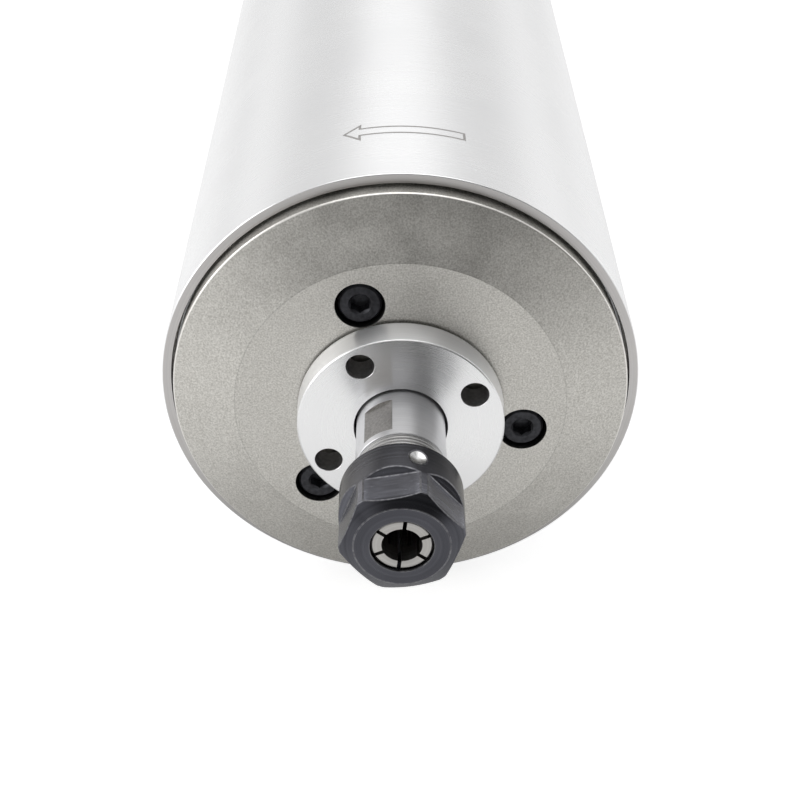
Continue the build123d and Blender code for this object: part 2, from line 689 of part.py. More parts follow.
def nozzle_at(angle):
    return at_clock(angle, NOZZLE_CIRCLE_R, REAR_COVER_BACK - WASHER_THICKNESS) * nozzle()


def nozzle_washers():
    inner = NOZZLE_THREAD_R + SEAT_GAP
    washer = ring(inner, WASHER_R, REAR_COVER_BACK - WASHER_THICKNESS, REAR_COVER_BACK)
    return Compound([at_clock(angle, NOZZLE_CIRCLE_R) * washer for angle in WATER_ANGLES])


SOCKET_FRONT = REAR_COVER_BACK - SOCKET_FLANGE_THICKNESS - SOCKET_FRONT_LENGTH
SOCKET_BACK = REAR_COVER_FRONT + SOCKET_BACK_LENGTH
INSULATOR_FRONT = REAR_COVER_BACK - SOCKET_FLANGE_THICKNESS
INSULATOR_BACK = SOCKET_BACK + INSULATOR_STANDS_IN
LEAD_FRONT = STATOR_BACK - END_TURN_LENGTH
AT_SOCKET = at_clock(0, SOCKET_CIRCLE_R)


def pin_places(count=PIN_COUNT):
    """Pins of the socket, clockwise from the spare one nearest the spindle axis."""
    return [at_clock(180 + number * 360 / PIN_COUNT, PIN_CIRCLE_R) for number in range(count)]


def socket_shell():
    shell = ring(SOCKET_CAVITY_R, SOCKET_THREAD_R, SOCKET_FRONT, SOCKET_BACK)
    return AT_SOCKET * (shell + ring(SOCKET_CAVITY_R, SOCKET_FLANGE_R, INSULATOR_FRONT, REAR_COVER_BACK))


def socket_nut():
    inner = SOCKET_THREAD_R + SEAT_GAP
    return AT_SOCKET * ring(inner, SOCKET_NUT_R, REAR_COVER_FRONT, REAR_COVER_FRONT + SOCKET_NUT_THICKNESS)


def socket_insulator():
    body = rod(SOCKET_CAVITY_R - SEAT_GAP, INSULATOR_FRONT, INSULATOR_BACK)
    for place in pin_places():
        body -= place * rod(PIN_R + SEAT_GAP, INSULATOR_FRONT - 1, INSULATOR_BACK + 1)
    return AT_SOCKET * body


def socket_pins():
    pin = rod(PIN_R, INSULATOR_FRONT - PIN_LENGTH, INSULATOR_BACK + PIN_TAIL)
    return Compound([AT_SOCKET * place * pin for place in pin_places()])


def phase_leads():
    lead = rod(LEAD_R, INSULATOR_BACK + PIN_TAIL, LEAD_FRONT)
    return Compound([AT_SOCKET * place * lead for place in pin_places()[1 : LEAD_COUNT + 1]])


FRONT_BEARING = (FRONT_BEARING_BORE_R, FRONT_BEARING_OUTER_R, FRONT_STACK)
REAR_BEARING = (REAR_BEARING_BORE_R, REAR_BEARING_OUTER_R, REAR_STACK)

os.makedirs("parts", exist_ok=True)
write("housing_tube", housing_tube())
write("water_jacket", water_jacket())
write("jacket_seals", jacket_seals())
write("stator_core", stator_core())
write("stator_windings", stator_windings())
write("front_bearing_housing", front_bearing_housing())
write("front_cover", front_cover())
write("front_cover_screws", front_cover_screws())
write("front_outer_races", outer_races(*FRONT_BEARING))
write("front_inner_races", inner_races(*FRONT_BEARING))
write("front_rolling_sets", rolling_sets(*FRONT_BEARING))
write("rear_bearing_housing", rear_bearing_housing())
write("rear_outer_race", outer_races(*REAR_BEARING))
write("rear_inner_race", inner_races(*REAR_BEARING))
write("rear_rolling_set", rolling_sets(*REAR_BEARING))
write("preload_spring", preload_spring())
write("rear_cover", rear_cover())
write("rear_cover_screws", rear_cover_screws())
write("shaft", shaft())
write("rotor_core", rotor_core())
write("rotor_end_rings", rotor_end_rings())
write("lock_ring", lock_ring())
write("rear_lock_nut", rear_lock_nut())
write("collet", collet())
write("collet_nut", collet_nut())
write("water_inlet_nozzle", nozzle_at(WATER_ANGLES[0]))
write("water_outlet_nozzle", nozzle_at(WATER_ANGLES[1]))
write("nozzle_washers", nozzle_washers())
write("socket_shell", socket_shell())
write("socket_nut", socket_nut())
write("socket_insulator", socket_insulator())
write("socket_pins", socket_pins())
write("phase_leads", phase_leads())
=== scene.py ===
from math import cos, hypot, pi, radians, sin, tan

import bpy
from mathutils import Matrix, Vector


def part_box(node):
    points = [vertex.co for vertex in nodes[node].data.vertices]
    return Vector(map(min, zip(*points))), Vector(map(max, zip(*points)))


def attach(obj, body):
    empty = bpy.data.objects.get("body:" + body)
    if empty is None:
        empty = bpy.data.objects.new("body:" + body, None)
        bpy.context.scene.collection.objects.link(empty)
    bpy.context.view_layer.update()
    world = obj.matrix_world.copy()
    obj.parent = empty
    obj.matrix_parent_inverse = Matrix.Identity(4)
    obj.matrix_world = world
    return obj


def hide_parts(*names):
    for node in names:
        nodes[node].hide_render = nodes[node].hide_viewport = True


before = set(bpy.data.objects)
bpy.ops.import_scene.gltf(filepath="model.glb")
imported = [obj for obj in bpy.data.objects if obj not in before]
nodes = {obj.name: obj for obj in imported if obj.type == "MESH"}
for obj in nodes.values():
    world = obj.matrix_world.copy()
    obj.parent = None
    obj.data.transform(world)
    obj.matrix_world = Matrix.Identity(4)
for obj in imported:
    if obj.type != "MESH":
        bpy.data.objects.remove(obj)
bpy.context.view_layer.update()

# ---- Studio
# The spindle lies on a white sweep with its nose towards the viewer, under three soft boxes. The
# room is pale with darker gaps behind it and dark in front, which metal shows as soft bands.

CAMERA_PLACE = (-0.00118, -0.29730, 0.14176)
CAMERA_FORWARD = Vector((0.0044, 0.8204, -0.5718)).normalized()
CAMERA_UP = Vector((0.0031, 0.5718, 0.8204)).normalized()
CAMERA_LENS = 67.0
AMBIENT = 0.55
ROOM_PALE = 1.0
ROOM_GAP = 0.74
ROOM_GAPS = 4.0
ROOM_FRONT = 0.07
ROOM_HIGH = 0.2
# Each band is where one tone starts to turn into the next and where it has: for the room a
# direction's part along an axis, and for the floor a distance in metres.
HIGH_BAND = (0.15, 0.6)
SIDE_BAND = (0.2, 0.8)
FRONT_BAND = (-0.7, -0.25)
RIGHT_SHARE = 0.25
RIGHT_LEAN = 0.4
SOFT_BOXES = (
    ("lamp_above", (0.0, 0.08, 0.60), 0.60, 1.3),
    ("lamp_left", (-0.62, -0.22, 0.22), 0.50, 1.4),
    ("lamp_right", (0.62, 0.0, 0.22), 0.50, 0.4),
)
LAMP_TARGET = Vector((0, -0.05, 0))
FLOOR_HEIGHT = -0.040
FLOOR_SIZE = 6.0
FLOOR_ROUGHNESS = 0.9
SWEEP_COLOUR = (0.62, 0.62, 0.62, 1)
FLOOR_GLOW = 0.7
FLOOR_SHINE = 0.42
SHINE_BAND = (-0.45, -0.18)
# Where the floor's reflected glow is held back under the spindle, as a painted shadow.
PAINTED_SHADOW_SIDES = (0.03, 0.09)
PAINTED_SHADOW_FRONT = (-0.15, -0.10)
SHINE_LEFT_IN_PAINTED_SHADOW = 0.25
WHITE = (1, 1, 1, 1)


def add(tree, kind, sockets=None, **settings):
    """Adds a shader node; a socket takes a value or the output that feeds it."""
    node = tree.nodes.new(kind)
    for name, value in settings.items():
        setattr(node, name, value)
    for name, value in (sockets or {}).items():
        if isinstance(value, bpy.types.NodeSocket):
            tree.links.new(value, node.inputs[name])
        else:
            node.inputs[name].default_value = value
    return node


def sum_up(tree, operation, *values):
    """One step of arithmetic in a shader."""
    sockets = {place: value for place, value in enumerate(values)}
    return add(tree, "ShaderNodeMath", sockets, operation=operation).outputs[0]


def graded(tree, value, low, high, bottom, top):
    """Value from low to high becomes bottom to top, smoothly."""
    names = ("Value", "From Min", "From Max", "To Min", "To Max")
    sockets = dict(zip(names, (value, low, high, bottom, top)))
    return add(tree, "ShaderNodeMapRange", sockets, interpolation_type="SMOOTHSTEP").outputs[0]


def blend(tree, factor, first, second):
    """Runs from the first value to the second as the factor runs from 0 to 1."""
    sockets = {"Factor": factor, "A": first, "B": second}
    return add(tree, "ShaderNodeMix", sockets).outputs[0]


def split(tree, vector):
    """X, Y and Z of a vector."""
    return add(tree, "ShaderNodeSeparateXYZ", {0: vector}).outputs


def mirrored(tree, path):
    """1 for light seen in a mirror or through glass, otherwise 0."""
    return sum_up(tree, "MAXIMUM", path["Is Glossy Ray"], path["Is Transmission Ray"])


camera_data = bpy.data.cameras.new("camera")
camera_data.lens = CAMERA_LENS
camera = bpy.data.objects.new("camera", camera_data)
bpy.context.scene.collection.objects.link(camera)
right = CAMERA_FORWARD.cross(CAMERA_UP).normalized()
level_up = right.cross(CAMERA_FORWARD)
turn = Matrix((right, level_up, -CAMERA_FORWARD)).transposed()
camera.matrix_world = Matrix.Translation(CAMERA_PLACE) @ turn.to_4x4()
bpy.context.scene.camera = camera
bpy.context.scene.view_settings.view_transform = "Standard"

world = bpy.data.worlds.new("studio")
bpy.context.scene.world = world
world.use_nodes = True
tree = world.node_tree
tree.nodes.clear()
way = split(tree, add(tree, "ShaderNodeTexCoord").outputs["Generated"])
round_way = sum_up(tree, "ARCTAN2", way["X"], way["Z"])
gaps = sum_up(tree, "COSINE", sum_up(tree, "MULTIPLY", round_way, ROOM_GAPS))
behind = graded(tree, gaps, -1.0, 1.0, ROOM_GAP, ROOM_PALE)
leftward = sum_up(tree, "MULTIPLY", way["X"], -1.0)
rightward = sum_up(tree, "MULTIPLY", way["X"], RIGHT_SHARE)
aside = sum_up(tree, "MAXIMUM", leftward, rightward)
dark = graded(tree, way["Z"], *HIGH_BAND, ROOM_FRONT, ROOM_HIGH)
before = graded(tree, aside, *SIDE_BAND, dark, ROOM_PALE)
lean = sum_up(tree, "MULTIPLY", sum_up(tree, "MAXIMUM", way["X"], 0.0), RIGHT_LEAN)
ahead = sum_up(tree, "SUBTRACT", way["Y"], lean)
to_front = graded(tree, ahead, *FRONT_BAND, 1.0, 0.0)
room = blend(tree, to_front, behind, before)
path = add(tree, "ShaderNodeLightPath").outputs
indirect = blend(tree, mirrored(tree, path), AMBIENT, room)
strength = blend(tree, path["Is Camera Ray"], indirect, 1.0)
sky = add(tree, "ShaderNodeBackground", {"Color": WHITE, "Strength": strength})
add(tree, "ShaderNodeOutputWorld", {"Surface": sky.outputs[0]})

for name, place, size, power in SOFT_BOXES:
    bpy.ops.object.select_all(action="DESELECT")
    bpy.ops.object.light_add(type="AREA", location=place)
    lamp = bpy.context.object
    lamp.name = name
    lamp.data.size = size
    lamp.data.energy = power
    lamp.rotation_euler = (LAMP_TARGET - Vector(place)).to_track_quat("-Z", "Y").to_euler()

bpy.ops.object.select_all(action="DESELECT")
bpy.ops.mesh.primitive_plane_add(size=FLOOR_SIZE, location=(0, 0, FLOOR_HEIGHT))
floor = bpy.context.object
floor.name = "floor"
paper = bpy.data.materials.new("white_paper")
paper.use_nodes = True
tree = paper.node_tree
shader = tree.nodes["Principled BSDF"]
shader.inputs["Base Color"].default_value = SWEEP_COLOUR
shader.inputs["Roughness"].default_value = FLOOR_ROUGHNESS
shader.inputs["Specular IOR Level"].default_value = 0.0
# The glow that mirrors see is taken out under the spindle, near its axis and just in front: a
# painted shadow, since the glow itself casts none.
spot = split(tree, add(tree, "ShaderNodeTexCoord").outputs["Object"])
beside = graded(tree, sum_up(tree, "ABSOLUTE", spot["X"]), *PAINTED_SHADOW_SIDES, 0.0, 1.0)
under = graded(tree, spot["Y"], *PAINTED_SHADOW_FRONT, 1.0, SHINE_LEFT_IN_PAINTED_SHADOW)
clear = sum_up(tree, "MAXIMUM", beside, under)
shine_with_painted_shadow = sum_up(tree, "MULTIPLY", graded(tree, spot["Y"], *SHINE_BAND, 0.0, FLOOR_SHINE), clear)
path = add(tree, "ShaderNodeLightPath").outputs
shine_with_painted_shadow = sum_up(tree, "MULTIPLY", mirrored(tree, path), shine_with_painted_shadow)
seen = sum_up(tree, "MULTIPLY", path["Is Camera Ray"], FLOOR_GLOW)
power = sum_up(tree, "ADD", shine_with_painted_shadow, seen)
glow = add(tree, "ShaderNodeEmission", {"Color": WHITE, "Strength": power})
both = add(tree, "ShaderNodeAddShader", {0: shader.outputs[0], 1: glow.outputs[0]})
tree.links.new(both.outputs[0], tree.nodes["Material Output"].inputs[0])
floor.data.materials.append(paper)

# ---- Water jacket and its seals
# The jacket is an aluminium sleeve with a zigzag channel milled into its outside. It slides into
# the tube, and a rubber ring in each end land keeps the cooling water in.

JACKET_COLOURS = ((0.60, 0.61, 0.62), (0.74, 0.75, 0.76))
SEAL_COLOURS = ((0.018, 0.018, 0.019), (0.045, 0.045, 0.047))
GRAIN_SHARE = 0.8
PATCH_SIZE = 25
GRAIN_COLOUR_SPAN = (0.35, 0.65)
GRAIN_ROUGH_SPAN = (0.3, 0.7)


def blank(name, metallic, **constants):
    """An empty material with its shader and its object coordinates."""
    material = bpy.data.materials.new(name)
    material.use_nodes = True
    tree = material.node_tree
    shader = tree.nodes["Principled BSDF"]
    shader.inputs["Metallic"].default_value = metallic
    for socket, value in constants.items():
        shader.inputs[socket.replace("_", " ")].default_value = value
    place = add(tree, "ShaderNodeTexCoord").outputs["Object"]
    return material, tree, shader, place


def mottle(tree, place, scale, detail=3.0):
    """Cloudy noise with patches of about 1/scale metres."""
    sockets = {"Vector": place, "Scale": scale, "Detail": detail}
    return add(tree, "ShaderNodeTexNoise", sockets).outputs["Fac"]


def weighed(tree, first, share, second):
    """Mixes two patterns, with the given share of the first."""
    part = sum_up(tree, "MULTIPLY", first, share)
    rest = sum_up(tree, "MULTIPLY", second, 1 - share)
    return sum_up(tree, "ADD", part, rest)


def between(tree, value, low, high, colours):
    """Colour that runs from the first to the second as value runs from low to high."""
    ramp = add(tree, "ShaderNodeValToRGB", {"Fac": value})
    for element, where, colour in zip(ramp.color_ramp.elements, (low, high), colours):
        element.position = where
        element.color = (*colour, 1)
    return ramp.outputs["Color"]


def roughen(tree, shader, height, distance):
    """Gives the shader a bump; distance is in metres."""
    sockets = {"Height": height, "Distance": distance, "Strength": 1.0}
    bump = add(tree, "ShaderNodeBump", sockets)
    tree.links.new(bump.outputs[0], shader.inputs["Normal"])


def dress(piece, *materials):
    """Gives a piece its finish, and further finishes to the faces marked with slots 1, 2 and on."""
    slots = piece.data.materials
    for number, material in enumerate(materials):
        if number == len(slots):
            slots.append(None)
        slots[number] = material


def grained(name, colours, scale, rough, metallic=0.0, depth=0.00002):
    """An even finish with fine grain and large soft patches, as cast or blasted stock has."""
    material, tree, shader, place = blank(name, metallic)
    grain = mottle(tree, place, scale)
    patches = mottle(tree, place, scale / PATCH_SIZE)
    both = weighed(tree, grain, GRAIN_SHARE, patches)
    colour = between(tree, both, *GRAIN_COLOUR_SPAN, colours)
    tree.links.new(colour, shader.inputs["Base Color"])
    roughness = graded(tree, patches, *GRAIN_ROUGH_SPAN, *rough)
    tree.links.new(roughness, shader.inputs["Roughness"])
    roughen(tree, shader, grain, depth)
    return material


jacket_metal = grained("milled_aluminium", JACKET_COLOURS, 2500, (0.30, 0.42), metallic=1.0)
dress(nodes["water_jacket"], jacket_metal)
dress(nodes["jacket_seals"], grained("seal_rubber", SEAL_COLOURS, 3000, (0.55, 0.7)))

# ---- Stator
# The core is a stack of half-millimetre steel sheets, glued and shrunk into the jacket. Twelve
# slots hold the copper coils, whose ends are bound and dipped in varnish.

SHEET_COLOURS = ((0.16, 0.17, 0.19), (0.34, 0.35, 0.37))
SHEET_THICKNESS = 0.0005
SHEET_SEAM = 0.12
SHEET_SEAM_DEPTH = 0.00005
SHEET_STAINS = 900
SHEET_SPAN = (0.0, 0.6)
SHEET_ROUGH = (0.6, 0.35)
COPPER_COLOURS = ((0.36, 0.13, 0.05), (0.72, 0.33, 0.16))
COPPER_ROUGH = (0.45, 0.25)
STRANDS = 1600
STRAND_STRETCH = (1, 0.25, 1)
STRAND_DEPTH = 0.0002
VARNISH = {"Coat_Weight": 0.6, "Coat_Roughness": 0.15}


def sheets(name):
    """Steel sheets seen edge on, stacked along the axis."""
    material, tree, shader, place = blank(name, 1.0)
    part = sum_up(tree, "FRACT", sum_up(tree, "DIVIDE", split(tree, place)["Y"], SHEET_THICKNESS))
    seam = graded(tree, sum_up(tree, "PINGPONG", part, 0.5), 0.0, SHEET_SEAM, 0.0, 1.0)
    tone = sum_up(tree, "MULTIPLY", seam, mottle(tree, place, SHEET_STAINS))
    tree.links.new(between(tree, tone, *SHEET_SPAN, SHEET_COLOURS), shader.inputs["Base Color"])
    tree.links.new(graded(tree, tone, *SHEET_SPAN, *SHEET_ROUGH), shader.inputs["Roughness"])
    roughen(tree, shader, seam, SHEET_SEAM_DEPTH)
    return material


coils, tree, shader, place = blank("varnished_coils", 1.0, **VARNISH)
along = add(tree, "ShaderNodeMapping", {"Vector": place, "Scale": STRAND_STRETCH})
strands = mottle(tree, along.outputs[0], STRANDS)
colour = between(tree, strands, *GRAIN_COLOUR_SPAN, COPPER_COLOURS)
tree.links.new(colour, shader.inputs["Base Color"])
roughness = graded(tree, strands, *GRAIN_ROUGH_SPAN, *COPPER_ROUGH)
tree.links.new(roughness, shader.inputs["Roughness"])
roughen(tree, shader, strands, STRAND_DEPTH)
dress(nodes["stator_core"], sheets("stator_sheets"))
dress(nodes["stator_windings"], coils)

# ---- Rotor
# A stack of sheets pressed on the shaft, with a short-circuit ring of cast aluminium at each end,
# skimmed in the lathe after casting and drilled where it was balanced.

RING_COLOURS = ((0.60, 0.61, 0.62), (0.78, 0.79, 0.80))
MARK_SHARE = 0.5
MARK_DETAIL = 4.0
STAINS = 60
LATHE_COLOUR_SPAN = (0.36, 0.64)
LATHE_ROUGH_SPAN = (0.35, 0.65)


def lathe_place(tree, place, centre=(0.0, 0.0)):
    """Radius, place along the axis and 0, so that noise on it runs round like a tool's marks."""
    shift = {"Vector": place, "Location": (-centre[0], 0, -centre[1])}
    parts = split(tree, add(tree, "ShaderNodeMapping", shift).outputs[0])
    flat = add(tree, "ShaderNodeCombineXYZ", {"X": parts["X"], "Y": parts["Z"]}).outputs[0]
    length = add(tree, "ShaderNodeVectorMath", {0: flat}, operation="LENGTH")
    sockets = {"X": length.outputs["Value"], "Y": parts["Y"]}
    return add(tree, "ShaderNodeCombineXYZ", sockets).outputs[0]


def lathe_finish(name, colours, rough, lines=3000, depth=0.000004, centre=(0.0, 0.0), stretch=0.0):
    """Metal off the lathe: fine marks run round the axis, and stains lie softly over them. The
    stretch draws highlights out across the marks."""
    material, tree, shader, place = blank(name, 1.0, Anisotropic=stretch)
    marks = mottle(tree, lathe_place(tree, place, centre), lines, MARK_DETAIL)
    stains = mottle(tree, place, STAINS, MARK_DETAIL)
    both = weighed(tree, marks, MARK_SHARE, stains)
    colour = between(tree, both, *LATHE_COLOUR_SPAN, colours)
    tree.links.new(colour, shader.inputs["Base Color"])
    roughness = graded(tree, both, *LATHE_ROUGH_SPAN, *rough)
    tree.links.new(roughness, shader.inputs["Roughness"])
    roughen(tree, shader, marks, depth)
    if stretch:
        tangent = add(tree, "ShaderNodeTangent", direction_type="RADIAL", axis="Y")
        tree.links.new(tangent.outputs[0], shader.inputs["Tangent"])
        shader.inputs["Anisotropic Rotation"].default_value = 0.25
    return material


dress(nodes["rotor_core"], sheets("rotor_sheets"))
dress(nodes["rotor_end_rings"], lathe_finish("cast_end_ring", RING_COLOURS, (0.25, 0.4)))

# ---- Bearing housings
# Each is turned from aluminium bar and slides into the tube against the jacket. The bearings sit
# in it, and the cover's screws are tapped into it.

HOUSING_COLOURS = ((0.58, 0.59, 0.60), (0.76, 0.77, 0.78))

for name in ("front_bearing_housing", "rear_bearing_housing"):
    dress(nodes[name], lathe_finish("turned_" + name, HOUSING_COLOURS, (0.25, 0.38)))

# ---- Bearings, preload spring and rear lock nut
# Ball bearings of hardened and ground steel, two back to back at the nose and one at the tail.
# A wave spring loads the rear one, and a lock nut holds its inner race on the shaft.

RACE_COLOURS = ((0.58, 0.60, 0.62), (0.72, 0.73, 0.75))
CAGE_COLOURS = ((0.50, 0.51, 0.52), (0.70, 0.71, 0.72))
SPRING_COLOURS = ((0.30, 0.31, 0.34), (0.50, 0.50, 0.52))
NUT_STEEL_COLOURS = ((0.40, 0.41, 0.42), (0.58, 0.58, 0.59))

race_steel = lathe_finish("ground_race_steel", RACE_COLOURS, (0.12, 0.2), 6000, 0.000001)
for name in ("front_outer_races", "front_inner_races", "rear_outer_race", "rear_inner_race"):
    dress(nodes[name], race_steel)
cage_metal = grained("cast_cage_metal", CAGE_COLOURS, 2200, (0.35, 0.5), metallic=1.0)
for name in ("front_rolling_sets", "rear_rolling_set"):
    dress(nodes[name], cage_metal)
dress(nodes["preload_spring"], lathe_finish("spring_steel", SPRING_COLOURS, (0.2, 0.3)))
dress(nodes["rear_lock_nut"], lathe_finish("lock_nut_steel", NUT_STEEL_COLOURS, (0.25, 0.4)))

# ---- Body tube
# A stainless tube, ground round on the outside and left with a satin bloom. Both ends are faced,
# the front mouth is relieved inside, and the tube holds everything else by its bore.

RIM = 90.75
TUBE_LENGTH = 181.5
TUBE_R = 39.98
TUBE_BORE_R = 38.05
TUBE_OUTER_EDGE = 0.14
TUBE_INNER_EDGE = 0.36
TUBE_RELIEF = 2.0
TUBE_EASE = 0.05
TUBE_COLOURS = ((0.885, 0.885, 0.89), (0.925, 0.925, 0.928))
FACED_RIM_SHADE_COLOURS = ((0.49, 0.475, 0.465), (0.60, 0.585, 0.575))
MERGE = 1e-6
FINE_MERGE = 1e-7


def only(piece):
    """Selects one piece and nothing else."""
    bpy.ops.object.select_all(action="DESELECT")
    piece.select_set(True)
    bpy.context.view_layer.objects.active = piece


def spot_at(x, station, z):
    """Place in metres, from millimetres; stations count from the front rim towards the nose."""
    return (x / 1000, -(RIM + station) / 1000, z / 1000)


def turned(name, corners, sides=96, centre=(0.0, 0.0), solid=False):
    """Turned about an axis along Y from (radius, station) corners, in millimetres. A solid keeps
    no bore, and its two ends are capped."""
    bpy.ops.object.select_all(action="DESELECT")
    radius, station = corners[0]
    start = spot_at(centre[0], station, centre[1])
    bpy.ops.mesh.primitive_circle_add(
        vertices=sides, radius=radius / 1000, location=start, rotation=(pi / 2, 0, 0)
    )
    piece = bpy.context.object
    piece.name = piece.data.name = name
    bpy.ops.object.mode_set(mode="EDIT")
    rest = corners[1:] if solid else (*corners[1:], corners[0])
    for next_radius, next_station in rest:
        step = (0, (station - next_station) / 1000, 0)
        bpy.ops.mesh.extrude_region_move(TRANSFORM_OT_translate={"value": step})
        middle = spot_at(centre[0], next_station, centre[1])
        bpy.ops.transform.resize(value=(next_radius / radius,) * 3, center_override=middle)
        radius, station = next_radius, next_station
    bpy.ops.mesh.select_all(action="SELECT")
    bpy.ops.mesh.remove_doubles(threshold=MERGE)
    if solid:
        bpy.ops.mesh.select_non_manifold(
            extend=False,
            use_wire=False,
            use_multi_face=False,
            use_non_contiguous=False,
            use_verts=False,
        )
        bpy.ops.mesh.fill_holes(sides=0)
        bpy.ops.mesh.select_all(action="SELECT")
    bpy.ops.mesh.normals_make_consistent(inside=False)
    bpy.ops.object.mode_set(mode="OBJECT")
    bpy.ops.object.transform_apply(location=True, rotation=True, scale=True)
    return piece


def eased(piece, width, segments=2, angle=25, slot=-1):
    """Rounds every edge sharper than the angle by a width in millimetres."""
    only(piece)
    bevel = piece.modifiers.new("ease", "BEVEL")
    bevel.width = width / 1000
    bevel.segments = segments
    bevel.limit_method = "ANGLE"
    bevel.angle_limit = radians(angle)
    bevel.use_clamp_overlap = False
    bevel.material = slot
    bpy.ops.object.modifier_apply(modifier=bevel.name)
    return piece


def smoothed(piece, angle=30):
    """Merges doubles, turns the faces out and shades the piece; flat faces stay flat."""
    only(piece)
    bpy.ops.object.mode_set(mode="EDIT")
    bpy.ops.mesh.select_all(action="SELECT")
    bpy.ops.mesh.remove_doubles(threshold=FINE_MERGE)
    bpy.ops.mesh.normals_make_consistent(inside=False)
    bpy.ops.object.mode_set(mode="OBJECT")
    bpy.ops.object.shade_smooth_by_angle(angle=radians(angle))
    weighted = piece.modifiers.new("weigh", "WEIGHTED_NORMAL")
    weighted.keep_sharp = True
    bpy.ops.object.modifier_apply(modifier=weighted.name)
    return piece


tube_profile = (
    (TUBE_BORE_R, -TUBE_LENGTH),
    (TUBE_R - TUBE_OUTER_EDGE, -TUBE_LENGTH),
    (TUBE_R, TUBE_OUTER_EDGE - TUBE_LENGTH),
    (TUBE_R, -TUBE_OUTER_EDGE),
    (TUBE_R - TUBE_OUTER_EDGE, 0),
    (TUBE_BORE_R + TUBE_INNER_EDGE, 0),
    (TUBE_BORE_R + TUBE_INNER_EDGE, -TUBE_RELIEF),
    (TUBE_BORE_R, -TUBE_RELIEF - TUBE_INNER_EDGE),
)
tube = smoothed(eased(turned("brushed_tube", tube_profile, sides=192), TUBE_EASE))
# The tube's two end faces take a darker copy of its steel: painted shade, on a rougher faced
# finish.
for face in tube.data.polygons:
    face.material_index = 1 if abs(face.normal.y) > 0.99 else 0
satin = lathe_finish("satin_stainless", TUBE_COLOURS, (0.25, 0.29), 1800, 0.0000006, stretch=0.45)
dress(tube, satin, lathe_finish("faced_rim_painted_shade", FACED_RIM_SHADE_COLOURS, (0.3, 0.4), 5000, 0.000002))
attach(tube, "housing")
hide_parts("housing_tube")

# ---- Direction arrow
# Burnt grey into the top of the tube with a laser, as an outline, so that whoever wires the motor
# can see which way the shaft has to turn.

ARROW_CORNERS = (
    (-9.33, -16.1),
    (-6.29, -12.8),
    (-6.29, -14.7),
    (10.68, -14.7),
    (10.68, -17.5),
    (-6.29, -17.5),
    (-6.29, -19.0),
)
ARROW_LINE = 0.42
ARROW_PROUD = 0.006
ARROW_CUTS = 28
ARROW_START = TUBE_R * 1.2
ARROW_COLOURS = ((0.26, 0.25, 0.243), (0.40, 0.385, 0.375))

bpy.ops.object.select_all(action="DESELECT")
bpy.ops.mesh.primitive_circle_add(vertices=len(ARROW_CORNERS), radius=0.01, fill_type="NGON")
arrow = bpy.context.object
arrow.name = arrow.data.name = "direction_arrow"
for vertex, (x, station) in zip(arrow.data.vertices, ARROW_CORNERS):
    vertex.co = spot_at(x, station, ARROW_START)
bpy.ops.object.mode_set(mode="EDIT")
bpy.ops.mesh.select_all(action="SELECT")
bpy.ops.mesh.inset(thickness=ARROW_LINE / 1000, use_even_offset=True)
bpy.ops.mesh.delete(type="ONLY_FACE")
bpy.ops.mesh.select_all(action="SELECT")
bpy.ops.mesh.subdivide(number_cuts=ARROW_CUTS)
bpy.ops.object.mode_set(mode="OBJECT")
wrap = arrow.modifiers.new("wrap", "SHRINKWRAP")
wrap.target = tube
wrap.wrap_method = "PROJECT"
wrap.use_project_z = True
wrap.use_positive_direction = False
wrap.use_negative_direction = True
wrap.wrap_mode = "ABOVE_SURFACE"
wrap.offset = ARROW_PROUD / 1000
bpy.ops.object.modifier_apply(modifier=wrap.name)
bpy.ops.object.mode_set(mode="EDIT")
bpy.ops.mesh.select_all(action="SELECT")
bpy.ops.mesh.normals_make_consistent(inside=False)
bpy.ops.object.mode_set(mode="OBJECT")
bpy.ops.object.shade_smooth()
dress(arrow, grained("laser_grey", ARROW_COLOURS, 4000, (0.5, 0.6)))
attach(arrow, "housing")

# ---- Front cover and its screws
# A steel plate with a shallow cone, blasted with fine beads to a warm grey. Three cap screws in
# counterbores hold it to the bearing housing, and the lock ring's hub turns in its bore.

COVER_R = 37.85
COVER_BORE_R = 10.0
COVER_BACK = -3.0
COVER_SIDE = 2.25
COVER_FACE_R = 27.4
COVER_FACE = 5.6
COVER_EASE = 0.26
CORNER_LINE = 0.16
CORNER_TONE = 0.82
# Inside this radius the plate is darkened as painted shade under the lock ring.
RING_SHADE_R = 16.4
COVER_COLOURS = ((0.49, 0.475, 0.44), (0.76, 0.745, 0.705))
RING_SHADE_COLOURS = ((0.34, 0.33, 0.31), (0.46, 0.45, 0.42))
CUT_EDGE_HIGHLIGHT_COLOURS = ((0.74, 0.72, 0.68), (0.88, 0.865, 0.83))
WELL_SHADE_COLOURS = ((0.05, 0.05, 0.05), (0.11, 0.108, 0.105))
SCREW_CIRCLE_R = 20.8
SCREW_ANGLES = (-18, 102, 222)
WELL_R = 4.0
WELL_DEPTH = 4.5
SCREW_HOLE_R = 2.25
HEAD_R = 3.5
HEAD_HEIGHT = 4.0
HEAD_SUNK = 0.5
HEAD_EDGE = 0.35
KEY_WIDTH = 3.0
KEY_DEPTH = 2.0
# The chamfer round the key's socket, as radius and distance from the head's top.
KEY_MOUTH_FOOT = (0.9, 1.05)
KEY_MOUTH_TOP = (2.75, 0.95)
SHANK_R = 2.0
SHANK_LENGTH = 12.0
SCREW_COLOURS = ((0.02, 0.02, 0.023), (0.05, 0.051, 0.058))
# A cutter runs this far past the face that it enters.
PAST = 1.0


def around(angle, radius):
    """Place of an axis at a clock angle, seen from the nose."""
    return (radius * sin(radians(angle)), radius * cos(radians(angle)))


def rod(name, radius, low, high, centre, sides=32):
    """Plain bar between two stations."""
    return turned(name, ((radius, low), (radius, high)), sides, centre, solid=True)


